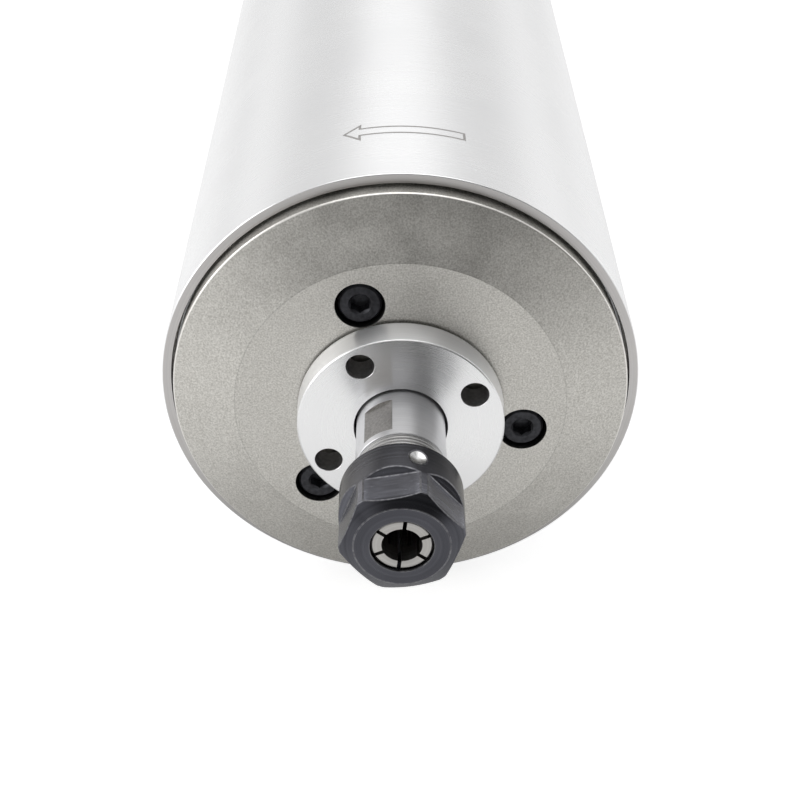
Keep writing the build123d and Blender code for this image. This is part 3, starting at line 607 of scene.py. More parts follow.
def hexagon(name, width, low, high, centre):
    """Six-sided bar between two stations, measured across its flats."""
    return rod(name, width / 2 / cos(pi / 6), low, high, centre, sides=6)


def drill(name, radius, face, depth, centre, ease, sides, way=1):
    """Cutter for a round hole with an eased mouth; way is -1 for a face that looks to the rear."""
    corners = (
        (radius, face - way * depth),
        (radius, face - way * ease),
        (radius + ease + PAST, face + way * PAST),
    )
    return turned(name, corners, sides, centre, solid=True)


def cut(piece, *cutters, operation="DIFFERENCE"):
    """Takes the cutters' shapes out of a piece."""
    for cutter in cutters:
        only(piece)
        modifier = piece.modifiers.new("cut", "BOOLEAN")
        modifier.operation = operation
        modifier.object = cutter
        modifier.solver = "EXACT"
        bpy.ops.object.modifier_apply(modifier=modifier.name)
        bpy.data.objects.remove(cutter)
    return piece


def with_slots(piece, count):
    """Gives a piece empty slots, for faces to be marked with before it is dressed."""
    for _ in range(count):
        piece.data.materials.append(None)
    return piece


def marked(cutter, slot):
    """Lets the faces that a cutter leaves behind take the finish of a slot."""
    for face in with_slots(cutter, slot + 1).data.polygons:
        face.material_index = slot
    return cutter


def joined(name, pieces):
    """Makes one object of several."""
    only(pieces[0])
    for piece in pieces:
        piece.select_set(True)
    bpy.ops.object.join()
    pieces[0].name = pieces[0].data.name = name
    return pieces[0]


def cap_screw(centre, top, way=1):
    """Socket head cap screw, its head's top at a station; way is -1 where it looks to the rear."""
    corners = (
        (SHANK_R, top - way * (HEAD_HEIGHT + SHANK_LENGTH)),
        (SHANK_R, top - way * HEAD_HEIGHT),
        (HEAD_R, top - way * HEAD_HEIGHT),
        (HEAD_R, top - way * HEAD_EDGE),
        (HEAD_R - HEAD_EDGE, top),
    )
    screw = turned("screw", corners, 48, centre, solid=True)
    key = hexagon("key", KEY_WIDTH, top - way * KEY_DEPTH, top + way * PAST, centre)
    foot_r, foot = KEY_MOUTH_FOOT
    mouth_r, mouth = KEY_MOUTH_TOP
    corners = ((foot_r, top - way * foot), (mouth_r, top + way * mouth))
    return cut(screw, key, turned("mouth", corners, 32, centre, solid=True))


def outward(point):
    """Distance of a point from the spindle's axis, in millimetres."""
    return hypot(point.x, point.z) * 1000


def turned_parts(tree):
    """Radius and station in millimetres, for a tone that follows the lathe's work."""
    parts = split(tree, lathe_place(tree, add(tree, "ShaderNodeTexCoord").outputs["Object"]))
    radius = sum_up(tree, "MULTIPLY", parts["X"], 1000.0)
    station = sum_up(tree, "SUBTRACT", sum_up(tree, "MULTIPLY", parts["Y"], -1000.0), RIM)
    return radius, station


def toned(material, tone):
    """Multiplies the finish's colour by a shader value."""
    tree = material.node_tree
    colour = tree.nodes["Principled BSDF"].inputs["Base Color"]
    sockets = {0: colour.links[0].from_socket, "Scale": tone}
    scaled = add(tree, "ShaderNodeVectorMath", sockets, operation="SCALE")
    tree.links.new(scaled.outputs[0], colour)


cover_profile = (
    (COVER_BORE_R, COVER_BACK),
    (COVER_R, COVER_BACK),
    (COVER_R, COVER_SIDE),
    (COVER_FACE_R, COVER_FACE),
    (RING_SHADE_R, COVER_FACE),
    (COVER_BORE_R, COVER_FACE),
)
cover = with_slots(turned("front_plate", cover_profile, sides=192), 4)
# The eased edges take a lighter finish: bright cut metal, with a painted highlight along the outer
# corner.
eased(cover, COVER_EASE, segments=3, angle=30, slot=2)
for angle in SCREW_ANGLES:
    place = around(angle, SCREW_CIRCLE_R)
    # The counterbores' walls are near black: painted shade round the screw heads.
    well = drill("well", WELL_R, COVER_FACE, WELL_DEPTH, place, ease=0.05, sides=64)
    cut(cover, marked(well, 3), rod("hole", SCREW_HOLE_R, COVER_BACK - PAST, COVER_FACE, place))
smoothed(cover, angle=12)
# Faces within the lock ring's reach, which the ring hides, take a darker copy of the plate: painted
# shade under the ring.
for face in cover.data.polygons:
    if outward(face.center) < RING_SHADE_R:
        face.material_index = 1
blasted = grained("blasted_plate", COVER_COLOURS, 3600, (0.42, 0.52), 1.0, 0.00003)
tree = blasted.node_tree
to_corner = sum_up(tree, "SUBTRACT", turned_parts(tree)[0], COVER_FACE_R)
off_corner = sum_up(tree, "ABSOLUTE", to_corner)
toned(blasted, graded(tree, off_corner, 0.0, CORNER_LINE, CORNER_TONE, 1.0))
shade_under_ring = grained("plate_painted_shade", RING_SHADE_COLOURS, 1500, (0.4, 0.55), 1.0)
cut_edge_and_highlight = grained("cut_edge_painted_highlight", CUT_EDGE_HIGHLIGHT_COLOURS, 2500, (0.3, 0.4), 1.0, 0.00001)
dress(cover, blasted, shade_under_ring, cut_edge_and_highlight, grained("well_wall_painted_shade", WELL_SHADE_COLOURS, 1500, (0.45, 0.6), 1.0))
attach(cover, "housing")
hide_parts("front_cover")

heads = [cap_screw(around(a, SCREW_CIRCLE_R), COVER_FACE - HEAD_SUNK) for a in SCREW_ANGLES]
heads = smoothed(joined("front_plate_screws", heads))
screw_black = grained("screw_black", SCREW_COLOURS, 1500, (0.35, 0.5), metallic=0.6)
dress(heads, screw_black)
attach(heads, "housing")
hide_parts("front_cover_screws")

# ---- Lock ring
# A fine-turned steel ring, screwed on the shaft against the front bearings. Four plain holes take
# a pin spanner, and its hub runs in the cover's bore as a labyrinth.

NECK_BORE_R = 7.62
HUB_R = 9.5
HUB_BACK = -3.0
RING_BACK = 6.1
RING_FACE = 11.07
RING_R = 17.0
RING_STRAIGHT = 0.5
RING_EDGE_R = 16.85
RING_EDGE = 0.25
RING_EASE = 0.1
SPANNER_CIRCLE_R = 13.5
SPANNER_HOLE_R = 2.28
SPANNER_HOLE_EDGE = 0.05
SPANNER_START = -28.5
LOCK_RING_COLOURS = ((0.82, 0.822, 0.825), (0.88, 0.88, 0.882))
RING_SIDE_SHEEN_COLOURS = ((0.92, 0.922, 0.925), (0.98, 0.98, 0.982))
DRILLED_SHADE_COLOURS = ((0.40, 0.395, 0.40), (0.54, 0.535, 0.54))


def station_of(point):
    """Station of a point, in millimetres."""
    return -point.y * 1000 - RIM


ring_profile = (
    (NECK_BORE_R, HUB_BACK),
    (HUB_R, HUB_BACK),
    (HUB_R, RING_BACK),
    (RING_R, RING_BACK),
    (RING_R, RING_BACK + RING_STRAIGHT),
    (RING_EDGE_R, RING_FACE - RING_EDGE),
    (RING_EDGE_R - RING_EDGE, RING_FACE),
    (NECK_BORE_R, RING_FACE),
)
ring = with_slots(eased(turned("spanner_ring", ring_profile, sides=144), RING_EASE), 3)
hole_depth = RING_FACE - RING_BACK + PAST
for number in range(4):
    place = around(SPANNER_START + 90 * number, SPANNER_CIRCLE_R)
    hole = drill("hole", SPANNER_HOLE_R, RING_FACE, hole_depth, place, SPANNER_HOLE_EDGE, 48)
    # The holes' walls take a darker copy of the steel: painted shade inside the spanner holes.
    for face in marked(hole, 1).data.polygons:
        if station_of(face.center) > RING_FACE - SPANNER_HOLE_EDGE:
            face.material_index = 0
    cut(ring, hole)
smoothed(ring)
# The ring's rounded edge and side take a lighter copy of its steel: a painted sheen.
for face in ring.data.polygons:
    if outward(face.center) > RING_EDGE_R - RING_EDGE and abs(face.normal.y) < 0.6:
        face.material_index = 2
fine_turned = lathe_finish(
    "fine_turned_steel", LOCK_RING_COLOURS, (0.25, 0.28), 7000, 0.0000004, stretch=0.8
)
drilled_wall_painted_shade = grained("drilled_wall_painted_shade", DRILLED_SHADE_COLOURS, 1500, (0.4, 0.55), metallic=1.0)
turned_edge_painted_sheen = lathe_finish(
    "turned_edge_painted_sheen", RING_SIDE_SHEEN_COLOURS, (0.38, 0.44), 5000, 0.000001, stretch=0.7
)
dress(ring, fine_turned, drilled_wall_painted_shade, turned_edge_painted_sheen)
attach(ring, "spindle")
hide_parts("lock_ring")

# ---- Shaft
# Hardened steel, ground on the neck and the bearing seats, with two milled flats for a wrench.
# The nose carries a fine right-hand thread, and a taper socket inside it takes the collet.

SEAT_R = 7.5
NECK_START = 3.0
NECK_R = 7.2
NECK_END = 22.3
NECK_EDGE = 0.1
THREAD_ROOT_R = 6.54
THREAD_CREST_R = 7.0
THREAD_SUNK = 0.04
THREAD_PITCH = 0.75
THREAD_FOOT = 0.94
THREAD_FLAT = 0.3
THREAD_FRONT = 35.0
THREAD_TURNS = 18
THREAD_STEPS = 72
NOSE_END = 35.6
SOCKET_MOUTH_R = 5.35
SOCKET_FOOT_R = 3.4
SOCKET_FOOT = 20.8
SOCKET_FLOOR = 11.6
SHAFT_BODY_R = 10.0
FRONT_SHOULDER = -21.0
REAR_SEAT_R = 6.0
FLAT_WIDTH = 13.44
FLAT_ANGLE = -32
FLAT_START = 13.2
FLAT_END = 21.1
SHAFT_COLOURS = ((0.68, 0.68, 0.695), (0.80, 0.80, 0.815))
FLAT_COLOURS = ((0.36, 0.346, 0.335), (0.52, 0.505, 0.49))
THREAD_SHADE_COLOURS = ((0.58, 0.575, 0.57), (0.74, 0.735, 0.73))


def block(angle, inner, outer, low, high, width):
    """Square cutter at a clock angle, between two distances from the axis and two stations."""
    bpy.ops.object.select_all(action="DESELECT")
    x, z = around(angle, (inner + outer) / 2)
    middle = spot_at(x, (low + high) / 2, z)
    bpy.ops.mesh.primitive_cube_add(size=1, location=middle, rotation=(0, radians(angle), 0))
    cutter = bpy.context.object
    cutter.scale = (width / 1000, (high - low) / 1000, (outer - inner) / 1000)
    bpy.ops.object.transform_apply(location=True, rotation=True, scale=True)
    return cutter


shaft_back = station_of(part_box("shaft")[1])
rear_shoulder = station_of(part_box("rear_inner_race")[0])
shaft_profile = (
    (REAR_SEAT_R, shaft_back),
    (REAR_SEAT_R, rear_shoulder),
    (SHAFT_BODY_R, rear_shoulder),
    (SHAFT_BODY_R, FRONT_SHOULDER),
    (SEAT_R, FRONT_SHOULDER),
    (SEAT_R, NECK_START),
    (NECK_R, NECK_START),
    (NECK_R, NECK_END - NECK_EDGE),
    (NECK_R - NECK_EDGE, NECK_END),
    (THREAD_ROOT_R, NECK_END),
    (THREAD_ROOT_R, NOSE_END),
)
socket_profile = (
    (SOCKET_FOOT_R, SOCKET_FLOOR),
    (SOCKET_FOOT_R, SOCKET_FOOT),
    (SOCKET_MOUTH_R, NOSE_END),
    (SOCKET_MOUTH_R, NOSE_END + PAST),
)
shaft = turned("threaded_shaft", shaft_profile, solid=True)
cut(shaft, turned("socket", socket_profile, sides=64, solid=True))
ground = lathe_finish(
    "ground_shaft_steel", SHAFT_COLOURS, (0.34, 0.42), 2500, 0.000002, stretch=0.7
)
dress(shaft, ground, grained("milled_flat", FLAT_COLOURS, 2600, (0.32, 0.42), metallic=1.0))
flat_at = FLAT_WIDTH / 2
for angle in (FLAT_ANGLE, FLAT_ANGLE + 180):
    flat = block(angle, flat_at, flat_at + 2 * NECK_R, FLAT_START, FLAT_END, 4 * NECK_R)
    cut(shaft, marked(flat, 1))

ridge_depth = THREAD_CREST_R - THREAD_ROOT_R + THREAD_SUNK
ridge_middle = THREAD_CREST_R - ridge_depth / 2
ridge_start = spot_at(ridge_middle, THREAD_FRONT, 0)
bpy.ops.object.select_all(action="DESELECT")
bpy.ops.mesh.primitive_plane_add(size=0.001, location=ridge_start)
ridge = bpy.context.object
ridge.name = "thread_ridge"
ridge.scale = (ridge_depth, THREAD_PITCH * THREAD_FOOT, 1)
bpy.ops.object.transform_apply(location=True, rotation=True, scale=True)
for vertex in ridge.data.vertices:
    if vertex.co.x * 1000 > ridge_middle:
        vertex.co.y = ridge_start[1] + (vertex.co.y - ridge_start[1]) * THREAD_FLAT
screw = ridge.modifiers.new("screw", "SCREW")
screw.axis = "Y"
screw.angle = 2 * pi
screw.screw_offset = THREAD_PITCH / 1000
screw.iterations = THREAD_TURNS
screw.steps = screw.render_steps = THREAD_STEPS
bpy.ops.object.modifier_apply(modifier=screw.name)
bpy.ops.object.mode_set(mode="EDIT")
bpy.ops.mesh.select_all(action="SELECT")
bpy.ops.mesh.fill_holes(sides=4)
bpy.ops.mesh.normals_make_consistent(inside=False)
bpy.ops.object.mode_set(mode="OBJECT")
# The thread ridge takes a darker copy of the shaft steel: painted shade that tones its crests down.
dress(ridge, lathe_finish("cut_thread_painted_shade", THREAD_SHADE_COLOURS, (0.3, 0.4), 2500, 0.000002))
shaft = smoothed(joined("threaded_shaft", [shaft, ridge]), angle=12)
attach(shaft, "spindle")
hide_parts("shaft")

# ---- Collet
# A spring collet of hardened steel, slit from both ends in turn, so that the nut can close its
# bore evenly on a 6 mm tool shank.

COLLET_FACE = 40.3
COLLET_BACK = 22.3
COLLET_BORE_R = 3.0
COLLET_FACE_R = 4.5
COLLET_BREAK = 0.3
COLLET_BREAK_R = 4.33
COLLET_CONE = 1.9
CONE_SLOPE = tan(radians(30))
COLLET_GROOVE_R = 4.7
COLLET_GROOVE = 1.5
COLLET_LARGE_R = 5.75
COLLET_LAND = 0.5
COLLET_TAPER = tan(radians(8))
COLLET_EASE = 0.08
SLITS = 12
SLIT_WIDTH = 0.6
SLIT_START = 6.5
SLIT_END = 3.2
COLLET_COLOURS = ((0.34, 0.33, 0.315), (0.52, 0.51, 0.49))

shoulder = COLLET_FACE - COLLET_CONE - COLLET_GROOVE
small_r = COLLET_LARGE_R - (shoulder - COLLET_LAND - COLLET_BACK) * COLLET_TAPER
collet_profile = (
    (COLLET_BORE_R, COLLET_BACK),
    (small_r, COLLET_BACK),
    (COLLET_LARGE_R, shoulder - COLLET_LAND),
    (COLLET_LARGE_R, shoulder),
    (COLLET_GROOVE_R, shoulder),
    (COLLET_GROOVE_R, COLLET_FACE - COLLET_CONE),
    (COLLET_FACE_R + COLLET_CONE * CONE_SLOPE, COLLET_FACE - COLLET_CONE),
    (COLLET_FACE_R + COLLET_BREAK * CONE_SLOPE, COLLET_FACE - COLLET_BREAK),
    (COLLET_BREAK_R, COLLET_FACE),
    (COLLET_BORE_R, COLLET_FACE),
)
collet = eased(turned("spring_collet", collet_profile, sides=120), COLLET_EASE)
slit_length = COLLET_FACE - COLLET_BACK - SLIT_END
for number in range(SLITS):
    if number % 2 == 0:
        low, high = COLLET_FACE - slit_length, COLLET_FACE + PAST
    else:
        low, high = COLLET_BACK - PAST, COLLET_BACK + slit_length
    angle = SLIT_START + 360 / SLITS * number
    cut(collet, block(angle, 0, 2 * COLLET_LARGE_R, low, high, SLIT_WIDTH))
smoothed(collet)
dress(collet, lathe_finish("ground_collet_steel", COLLET_COLOURS, (0.3, 0.42)))
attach(collet, "collet")
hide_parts("collet")

# ---- Collet nut
# Turned and milled from steel bar, then blackened. Six short flats end in 45 degree ramps, the
# front is coned, and the balancing dimple was drilled through the black into bright metal.

NUT_FACE = 40.7
NUT_BACK = 27.7
NUT_BACK_EDGE = 0.3
NUT_R = 9.5
NUT_ACROSS = 17.0
NUT_FLAT_START = -10
NUT_FLAT_FOOT = 34.5
NUT_FLAT_WIDTH = 12.0
NUT_RAMP = 2.0
NUT_NOSE_R = 7.17
NUT_NOSE = 1.37
NUT_MOUTH_R = 4.72
NUT_MOUTH = 0.5
NUT_LIP_R = 5.15
NUT_LIP = 1.05
NUT_RELIEF_R = 7.3
NUT_THREAD_R = 7.02
NUT_EASE = 0.15
DIMPLE_R = 1.66
DIMPLE_DEPTH = 0.75
DIMPLE_ANGLE = 15.1
DIMPLE_STATION = 31.1
DRILL_TIP = 2.0
NUT_COLOURS = ((0.084, 0.085, 0.098), (0.138, 0.140, 0.160))
# The black is lighter on the flats and most at the corners, partly wear where a wrench grips and
# partly painted highlight, and darker on the coned front as painted shade.
FLATS_BAND = (NUT_FLAT_FOOT - 0.2, NUT_FLAT_FOOT + 0.4)
CORNER_BAND = (NUT_R - 0.5, NUT_R - 0.1)
NUT_FLAT_WEAR_AND_SHEEN = 1.25
NUT_CORNER_WEAR_AND_HIGHLIGHT = 1.7
NOSE_SHADE_BAND = (NUT_FACE - NUT_NOSE - 0.2, NUT_FACE - NUT_NOSE + 0.2)
NUT_FRONT_SHADE = 0.55
EDGE_WEAR_AND_HIGHLIGHT_COLOURS = ((0.085, 0.085, 0.095), (0.19, 0.19, 0.20))
DIMPLE_COLOURS = ((0.50, 0.50, 0.50), (0.68, 0.68, 0.68))


def away(angle):
    """Direction straight away from the axis at a clock angle."""
    return Vector((sin(radians(angle)), 0, cos(radians(angle))))


lip_front = COLLET_FACE - COLLET_CONE - (COLLET_GROOVE - NUT_LIP) / 2
nut_profile = (
    (NUT_THREAD_R, NUT_BACK),
    (NUT_R - NUT_BACK_EDGE, NUT_BACK),
    (NUT_R, NUT_BACK + NUT_BACK_EDGE),
    (NUT_R, NUT_FACE - NUT_NOSE),
    (NUT_NOSE_R, NUT_FACE),
    (NUT_MOUTH_R, NUT_FACE),
    (NUT_MOUTH_R, NUT_FACE - NUT_MOUTH),
    (NUT_MOUTH_R + (NUT_FACE - NUT_MOUTH - lip_front) * CONE_SLOPE, lip_front),
    (NUT_LIP_R, lip_front),
    (NUT_LIP_R, lip_front - NUT_LIP),
    (NUT_RELIEF_R, lip_front - NUT_LIP),
    (NUT_RELIEF_R, NOSE_END),
    (NUT_THREAD_R, NOSE_END),
)
nut = turned("clamping_nut", nut_profile)
flat_at = NUT_ACROSS / 2
flat_end = NUT_FACE + PAST
for number in range(6):
    angle = NUT_FLAT_START + 60 * number
    mill = block(angle, flat_at, flat_at + NUT_RAMP, NUT_FLAT_FOOT, flat_end, NUT_FLAT_WIDTH)
    # Only the outer rear edge moves back, which tilts that end of the mill to 45 degrees.
    bpy.ops.object.mode_set(mode="EDIT")
    bpy.ops.mesh.select_all(action="DESELECT")
    bpy.ops.object.mode_set(mode="OBJECT")
    for vertex in mill.data.vertices:
        outer = vertex.co.dot(away(angle)) * 1000 > flat_at + NUT_RAMP / 2
        vertex.select = outer and station_of(vertex.co) < (NUT_FLAT_FOOT + flat_end) / 2
    bpy.ops.object.mode_set(mode="EDIT")
    bpy.ops.transform.translate(value=(0, NUT_RAMP / 1000, 0))
    bpy.ops.object.mode_set(mode="OBJECT")
    cut(nut, mill)
with_slots(nut, 3)
tip = away(DIMPLE_ANGLE) * (NUT_R - DIMPLE_DEPTH + DRILL_TIP / 2) / 1000
tip.y = -(RIM + DIMPLE_STATION) / 1000
bpy.ops.object.select_all(action="DESELECT")
bpy.ops.mesh.primitive_cone_add(
    vertices=48,
    radius1=0,
    radius2=DIMPLE_R / DIMPLE_DEPTH * DRILL_TIP / 1000,
    depth=DRILL_TIP / 1000,
    location=tip,
    rotation=(0, radians(DIMPLE_ANGLE), 0),
)
drill_tip = bpy.context.object
bpy.ops.object.transform_apply(location=True, rotation=True, scale=True)
cut(nut, marked(drill_tip, 2))
smoothed(eased(nut, NUT_EASE, angle=20, slot=1))
blackened = lathe_finish("blackened_steel", NUT_COLOURS, (0.2, 0.29), 2200)
tree = blackened.node_tree
radius, station = turned_parts(tree)
# From the flats forward the black is lighter, most at the corners: partly wear, partly painted
# highlight. The coned front is darker: painted shade.
on_flats = graded(tree, station, *FLATS_BAND, 0.0, 1.0)
wear_and_highlight = graded(tree, radius, *CORNER_BAND, NUT_FLAT_WEAR_AND_SHEEN, NUT_CORNER_WEAR_AND_HIGHLIGHT)
front = graded(tree, station, *NOSE_SHADE_BAND, 1.0, NUT_FRONT_SHADE)
toned(blackened, sum_up(tree, "MULTIPLY", blend(tree, on_flats, 1.0, wear_and_highlight), front))
# The eased edges are lighter: wear through the black, with a painted highlight along them.
edge_wear_and_highlight = grained("edge_wear_painted_highlight", EDGE_WEAR_AND_HIGHLIGHT_COLOURS, 1800, (0.3, 0.4), metallic=1.0)
dress(nut, blackened, edge_wear_and_highlight, grained("bright_dimple", DIMPLE_COLOURS, 1800, (0.2, 0.3), 1.0))
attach(nut, "collet_nut")
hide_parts("collet_nut")

# ---- Rear cover and its screws
# An aluminium plate that closes the tube, with three cap screws near its edge. The water passes
# through it in two drilled ports, and the power socket is mounted above its middle.

REAR_R = 37.98
REAR_FACE = -TUBE_LENGTH - 2.0
REAR_INSIDE = REAR_FACE + 9.5
REAR_EDGE = 0.8
REAR_EASE = 0.12
REAR_SCREW_CIRCLE_R = 33.0
REAR_SCREW_ANGLES = (60, 180, 300)
REAR_WELL_EDGE = 0.12
REAR_HOLE_EDGE = 0.1
NOZZLE_SPOTS = ((30.0, 0.0), (-30.0, 0.0))
STUD_HOLE_R = 4.02
STUD_HOLE_DEPTH = 6.0
PORT_R = 2.0
PORT_START = 5.0
PORT_OFFSET = 3.8
SOCKET_SPOT = (0.0, 19.0)
SOCKET_HOLE_R = 8.02
SOCKET_DEPTH = 11.0
REAR_COLOURS = ((0.56, 0.57, 0.58), (0.74, 0.75, 0.76))

rear_profile = (
    (REAR_R, REAR_INSIDE),
    (REAR_R, REAR_FACE + REAR_EDGE),
    (REAR_R - REAR_EDGE, REAR_FACE),
)
rear = eased(turned("rear_plate", rear_profile, sides=192, solid=True), REAR_EASE, angle=20)
for angle in REAR_SCREW_ANGLES:
    place = around(angle, REAR_SCREW_CIRCLE_R)
    well = drill("well", WELL_R, REAR_FACE, WELL_DEPTH, place, REAR_WELL_EDGE, 64, way=-1)
    cut(rear, well, rod("hole", SCREW_HOLE_R, REAR_INSIDE + PAST, REAR_FACE, place))
for x, z in NOZZLE_SPOTS:
    stud_hole = drill(
        "stud_hole", STUD_HOLE_R, REAR_FACE, STUD_HOLE_DEPTH, (x, z), REAR_HOLE_EDGE, 48, way=-1
    )
    side = x / abs(x)
    port_spot = (x + side * PORT_OFFSET, z)
    port = rod("port", PORT_R, REAR_FACE + PORT_START, REAR_INSIDE + PAST, port_spot)
    cut(rear, stud_hole, port)
socket_hole = drill(
    "socket_hole", SOCKET_HOLE_R, REAR_FACE, SOCKET_DEPTH, SOCKET_SPOT, REAR_HOLE_EDGE, 64, way=-1
)
cut(rear, socket_hole)
smoothed(rear)
dress(rear, lathe_finish("faced_aluminium", REAR_COLOURS, (0.28, 0.4), 2200, stretch=0.5))
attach(rear, "housing")
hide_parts("rear_cover")

spots = [around(angle, REAR_SCREW_CIRCLE_R) for angle in REAR_SCREW_ANGLES]
heads = [cap_screw(spot, REAR_FACE + HEAD_SUNK, way=-1) for spot in spots]
heads = smoothed(joined("rear_plate_screws", heads))
dress(heads, screw_black)
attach(heads, "housing")
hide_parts("rear_cover_screws")

# ---- Water nozzles and their washers
# Two turned brass nozzles, plated with nickel: a threaded stud, a hexagon and two barbs that grip
# a 6 mm hose. A soft copper washer seals each of them against the rear cover.

HEX_WIDTH = 11.0
HEX_LENGTH = 5.0
HEX_CHAMFER = 0.7
HEX_TAPER = (1.4, 1.2)
NOZZLE_TUBE_R = 3.0
NOZZLE_COLLAR = 3.0
BARB_R = 4.0
BARB_LENGTH = 5.5
NOZZLE_BORE_R = 2.0
NOZZLE_EASE = 0.12
STUD_R = 4.0
STUD_LENGTH = 7.0
STUD_EDGE = 0.3
STUD_STOP = 0.5
OVERLAP = 0.2
WASHER_R = 5.4
WASHER_THICKNESS = 1.0
WASHER_EASE = 0.15
NICKEL_COLOURS = ((0.62, 0.60, 0.56), (0.76, 0.745, 0.71))
WASHER_COLOURS = ((0.45, 0.20, 0.11), (0.78, 0.43, 0.28))

nozzle_face = REAR_FACE - WASHER_THICKNESS
hex_back = nozzle_face - HEX_LENGTH
barb_start = hex_back - NOZZLE_COLLAR
nozzle_profile = (
    (NOZZLE_BORE_R, nozzle_face + STUD_LENGTH),
    (STUD_R - STUD_EDGE, nozzle_face + STUD_LENGTH),
    (STUD_R, nozzle_face + STUD_LENGTH - STUD_EDGE),
    (STUD_R, nozzle_face - STUD_STOP),
    (NOZZLE_TUBE_R, nozzle_face - STUD_STOP),
    (NOZZLE_TUBE_R, barb_start),
    (BARB_R, barb_start),
    (NOZZLE_TUBE_R, barb_start - BARB_LENGTH),
    (BARB_R, barb_start - BARB_LENGTH),
    (NOZZLE_TUBE_R, barb_start - 2 * BARB_LENGTH),
    (NOZZLE_BORE_R, barb_start - 2 * BARB_LENGTH),
)
hex_corner = HEX_WIDTH / 2 / cos(pi / 6)
taper_profile = (
    (hex_corner - HEX_CHAMFER, hex_back),
    (hex_corner + HEX_TAPER[0], hex_back + HEX_TAPER[1]),
    (hex_corner + HEX_TAPER[0], nozzle_face + PAST),
)
washer_profile = (
    (STUD_HOLE_R, nozzle_face),
    (WASHER_R, nozzle_face),
    (WASHER_R, REAR_FACE),
    (STUD_HOLE_R, REAR_FACE),
)
names = ("inlet_nozzle", "outlet_nozzle")
for place, name, node in zip(NOZZLE_SPOTS, names, ("water_inlet_nozzle", "water_outlet_nozzle")):
    pipe = eased(turned(name, nozzle_profile, 64, place), NOZZLE_EASE)
    body = hexagon("hexagon", HEX_WIDTH, hex_back, nozzle_face, place)
    cut(body, turned("taper", taper_profile, 64, place, solid=True), operation="INTERSECT")
    bore_r = NOZZLE_TUBE_R - OVERLAP
    cut(body, rod("bore", bore_r, hex_back - PAST, nozzle_face + PAST, place, sides=64))
    nozzle = smoothed(joined(name, [pipe, eased(body, NOZZLE_EASE, angle=20)]))
    nickel = lathe_finish(name + "_nickel", NICKEL_COLOURS, (0.12, 0.22), 2600, 0.000002, place)
    dress(nozzle, nickel)
    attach(nozzle, "housing")
    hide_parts(node)

washers = [turned("washer", washer_profile, 64, place) for place in NOZZLE_SPOTS]
washers = [eased(washer, WASHER_EASE, segments=3) for washer in washers]
washers = smoothed(joined("copper_washers", washers))
dress(washers, grained("soft_copper", WASHER_COLOURS, 1500, (0.25, 0.4), metallic=1.0))
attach(washers, "housing")
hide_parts("nozzle_washers")

# ---- Power socket
# A round four-pin panel socket: a plated shell with an outside thread and a flange, clamped from
# inside by a round nut. The pins stand in a moulded insert, and three of them feed the motor.

SHELL_R = 8.0
SHELL_ROOT_R = 7.55
SHELL_EDGE = 0.2
CAVITY_R = 6.6
CAVITY_EDGE = 0.3
FLANGE_R = 9.5
FLANGE = 2.0
SHELL_FRONT = 9.0
SHELL_BACK = 4.5
SHELL_EASE = 0.06
SHELL_PITCH = 1.0
SHELL_LEAD = 0.6
SHELL_CRESTS = 7
CREST_START = 0.4
CREST_END = 0.6
INSERT_BACK = 1.5
INSERT_GAP = 0.02
INSERT_EDGE = 0.2
INSERT_EASE = 0.08
RECESS_INNER_R = 1.8
RECESS_OUTER_R = 5.4
RECESS = 0.5
PIN_R = 0.8
PIN_CIRCLE_R = 3.75
PIN_LENGTH = 6.0
PIN_TAIL = 3.0
# Shares of the pin's radius, each with its distance from the pin's end.
PIN_NOSE = ((1.0, 0.6), (0.8, 0.2), (0.4, 0.0))
PIN_HOLE_START = 20.0
SHELL_COLOURS = ((0.60, 0.60, 0.58), (0.74, 0.735, 0.72))
INSERT_COLOURS = ((0.018, 0.018, 0.02), (0.05, 0.05, 0.055))
PIN_COLOURS = ((0.62, 0.44, 0.16), (0.86, 0.68, 0.34))
LEAD_COLOURS = ((0.32, 0.025, 0.02), (0.55, 0.06, 0.045))

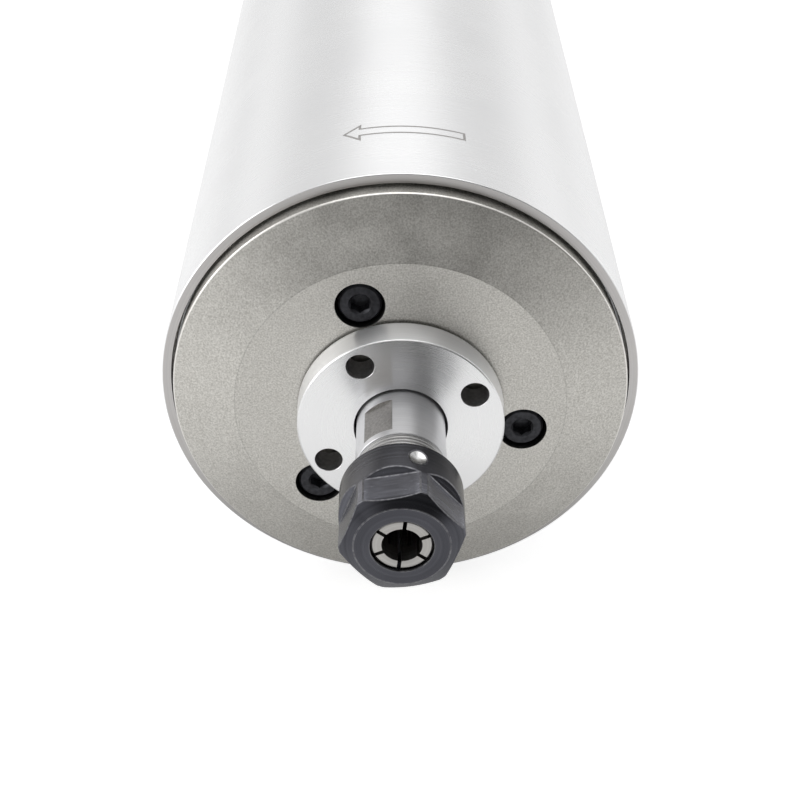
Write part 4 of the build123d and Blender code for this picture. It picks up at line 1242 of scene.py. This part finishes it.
flange_back = REAR_FACE - FLANGE
shell_end = flange_back - SHELL_FRONT
shell_inside = REAR_INSIDE + SHELL_BACK
teeth = []
for number in range(SHELL_CRESTS):
    start = shell_end + SHELL_LEAD + number * SHELL_PITCH
    teeth += [
        (SHELL_ROOT_R, start),
        (SHELL_R, start + CREST_START),
        (SHELL_R, start + CREST_END),
        (SHELL_ROOT_R, start + SHELL_PITCH),
    ]
shell_profile = (
    (CAVITY_R, shell_inside),
    (CAVITY_R, shell_end + CAVITY_EDGE),
    (CAVITY_R + CAVITY_EDGE, shell_end),
    (SHELL_ROOT_R - SHELL_EDGE, shell_end),
    *teeth,
    (SHELL_ROOT_R, flange_back),
    (FLANGE_R, flange_back),
    (FLANGE_R, REAR_FACE),
    (SHELL_R, REAR_FACE),
    (SHELL_R, shell_inside),
)
shell = eased(turned("socket_barrel", shell_profile, centre=SOCKET_SPOT), SHELL_EASE, angle=40)
smoothed(shell)
dress(shell, lathe_finish("plated_shell", SHELL_COLOURS, (0.16, 0.28), 2400, 0.000002, SOCKET_SPOT))
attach(shell, "housing")
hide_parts("socket_shell")

insert_r = CAVITY_R - INSERT_GAP
insert_back = shell_inside + INSERT_BACK
insert_profile = (
    (insert_r, insert_back),
    (insert_r, flange_back + INSERT_EDGE),
    (insert_r - INSERT_EDGE, flange_back),
    (RECESS_OUTER_R, flange_back),
    (RECESS_OUTER_R - INSERT_EDGE, flange_back + RECESS),
    (RECESS_INNER_R + INSERT_EDGE, flange_back + RECESS),
    (RECESS_INNER_R, flange_back),
)
pin_end = flange_back - PIN_LENGTH
pin_profile = (
    (PIN_R, insert_back + PIN_TAIL),
    *((PIN_R * share, pin_end + length) for share, length in PIN_NOSE),
)
insert = turned("socket_insert", insert_profile, centre=SOCKET_SPOT, solid=True)
eased(insert, INSERT_EASE, angle=30)
pins = []
for number in range(4):
    x, z = around(180 + 90 * number, PIN_CIRCLE_R)
    place = (SOCKET_SPOT[0] + x, SOCKET_SPOT[1] + z)
    hole_r = PIN_R + INSERT_GAP
    cut(insert, rod("hole", hole_r, REAR_FACE + PIN_HOLE_START, flange_back - PAST, place))
    pins.append(turned("pin", pin_profile, 32, place, solid=True))
smoothed(insert)
dress(insert, grained("moulded_insert", INSERT_COLOURS, 2500, (0.4, 0.55)))
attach(insert, "housing")
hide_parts("socket_insulator")
pins = smoothed(joined("gilt_pins", pins))
dress(pins, grained("gold_flash", PIN_COLOURS, 1800, (0.15, 0.25), 1.0, 0.000005))
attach(pins, "housing")
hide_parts("socket_pins")
nut_steel = lathe_finish("socket_nut_steel", SHELL_COLOURS, (0.2, 0.3), 2400, 0.000002, SOCKET_SPOT)
dress(nodes["socket_nut"], nut_steel)
dress(nodes["phase_leads"], grained("lead_sleeve", LEAD_COLOURS, 2500, (0.45, 0.6)))
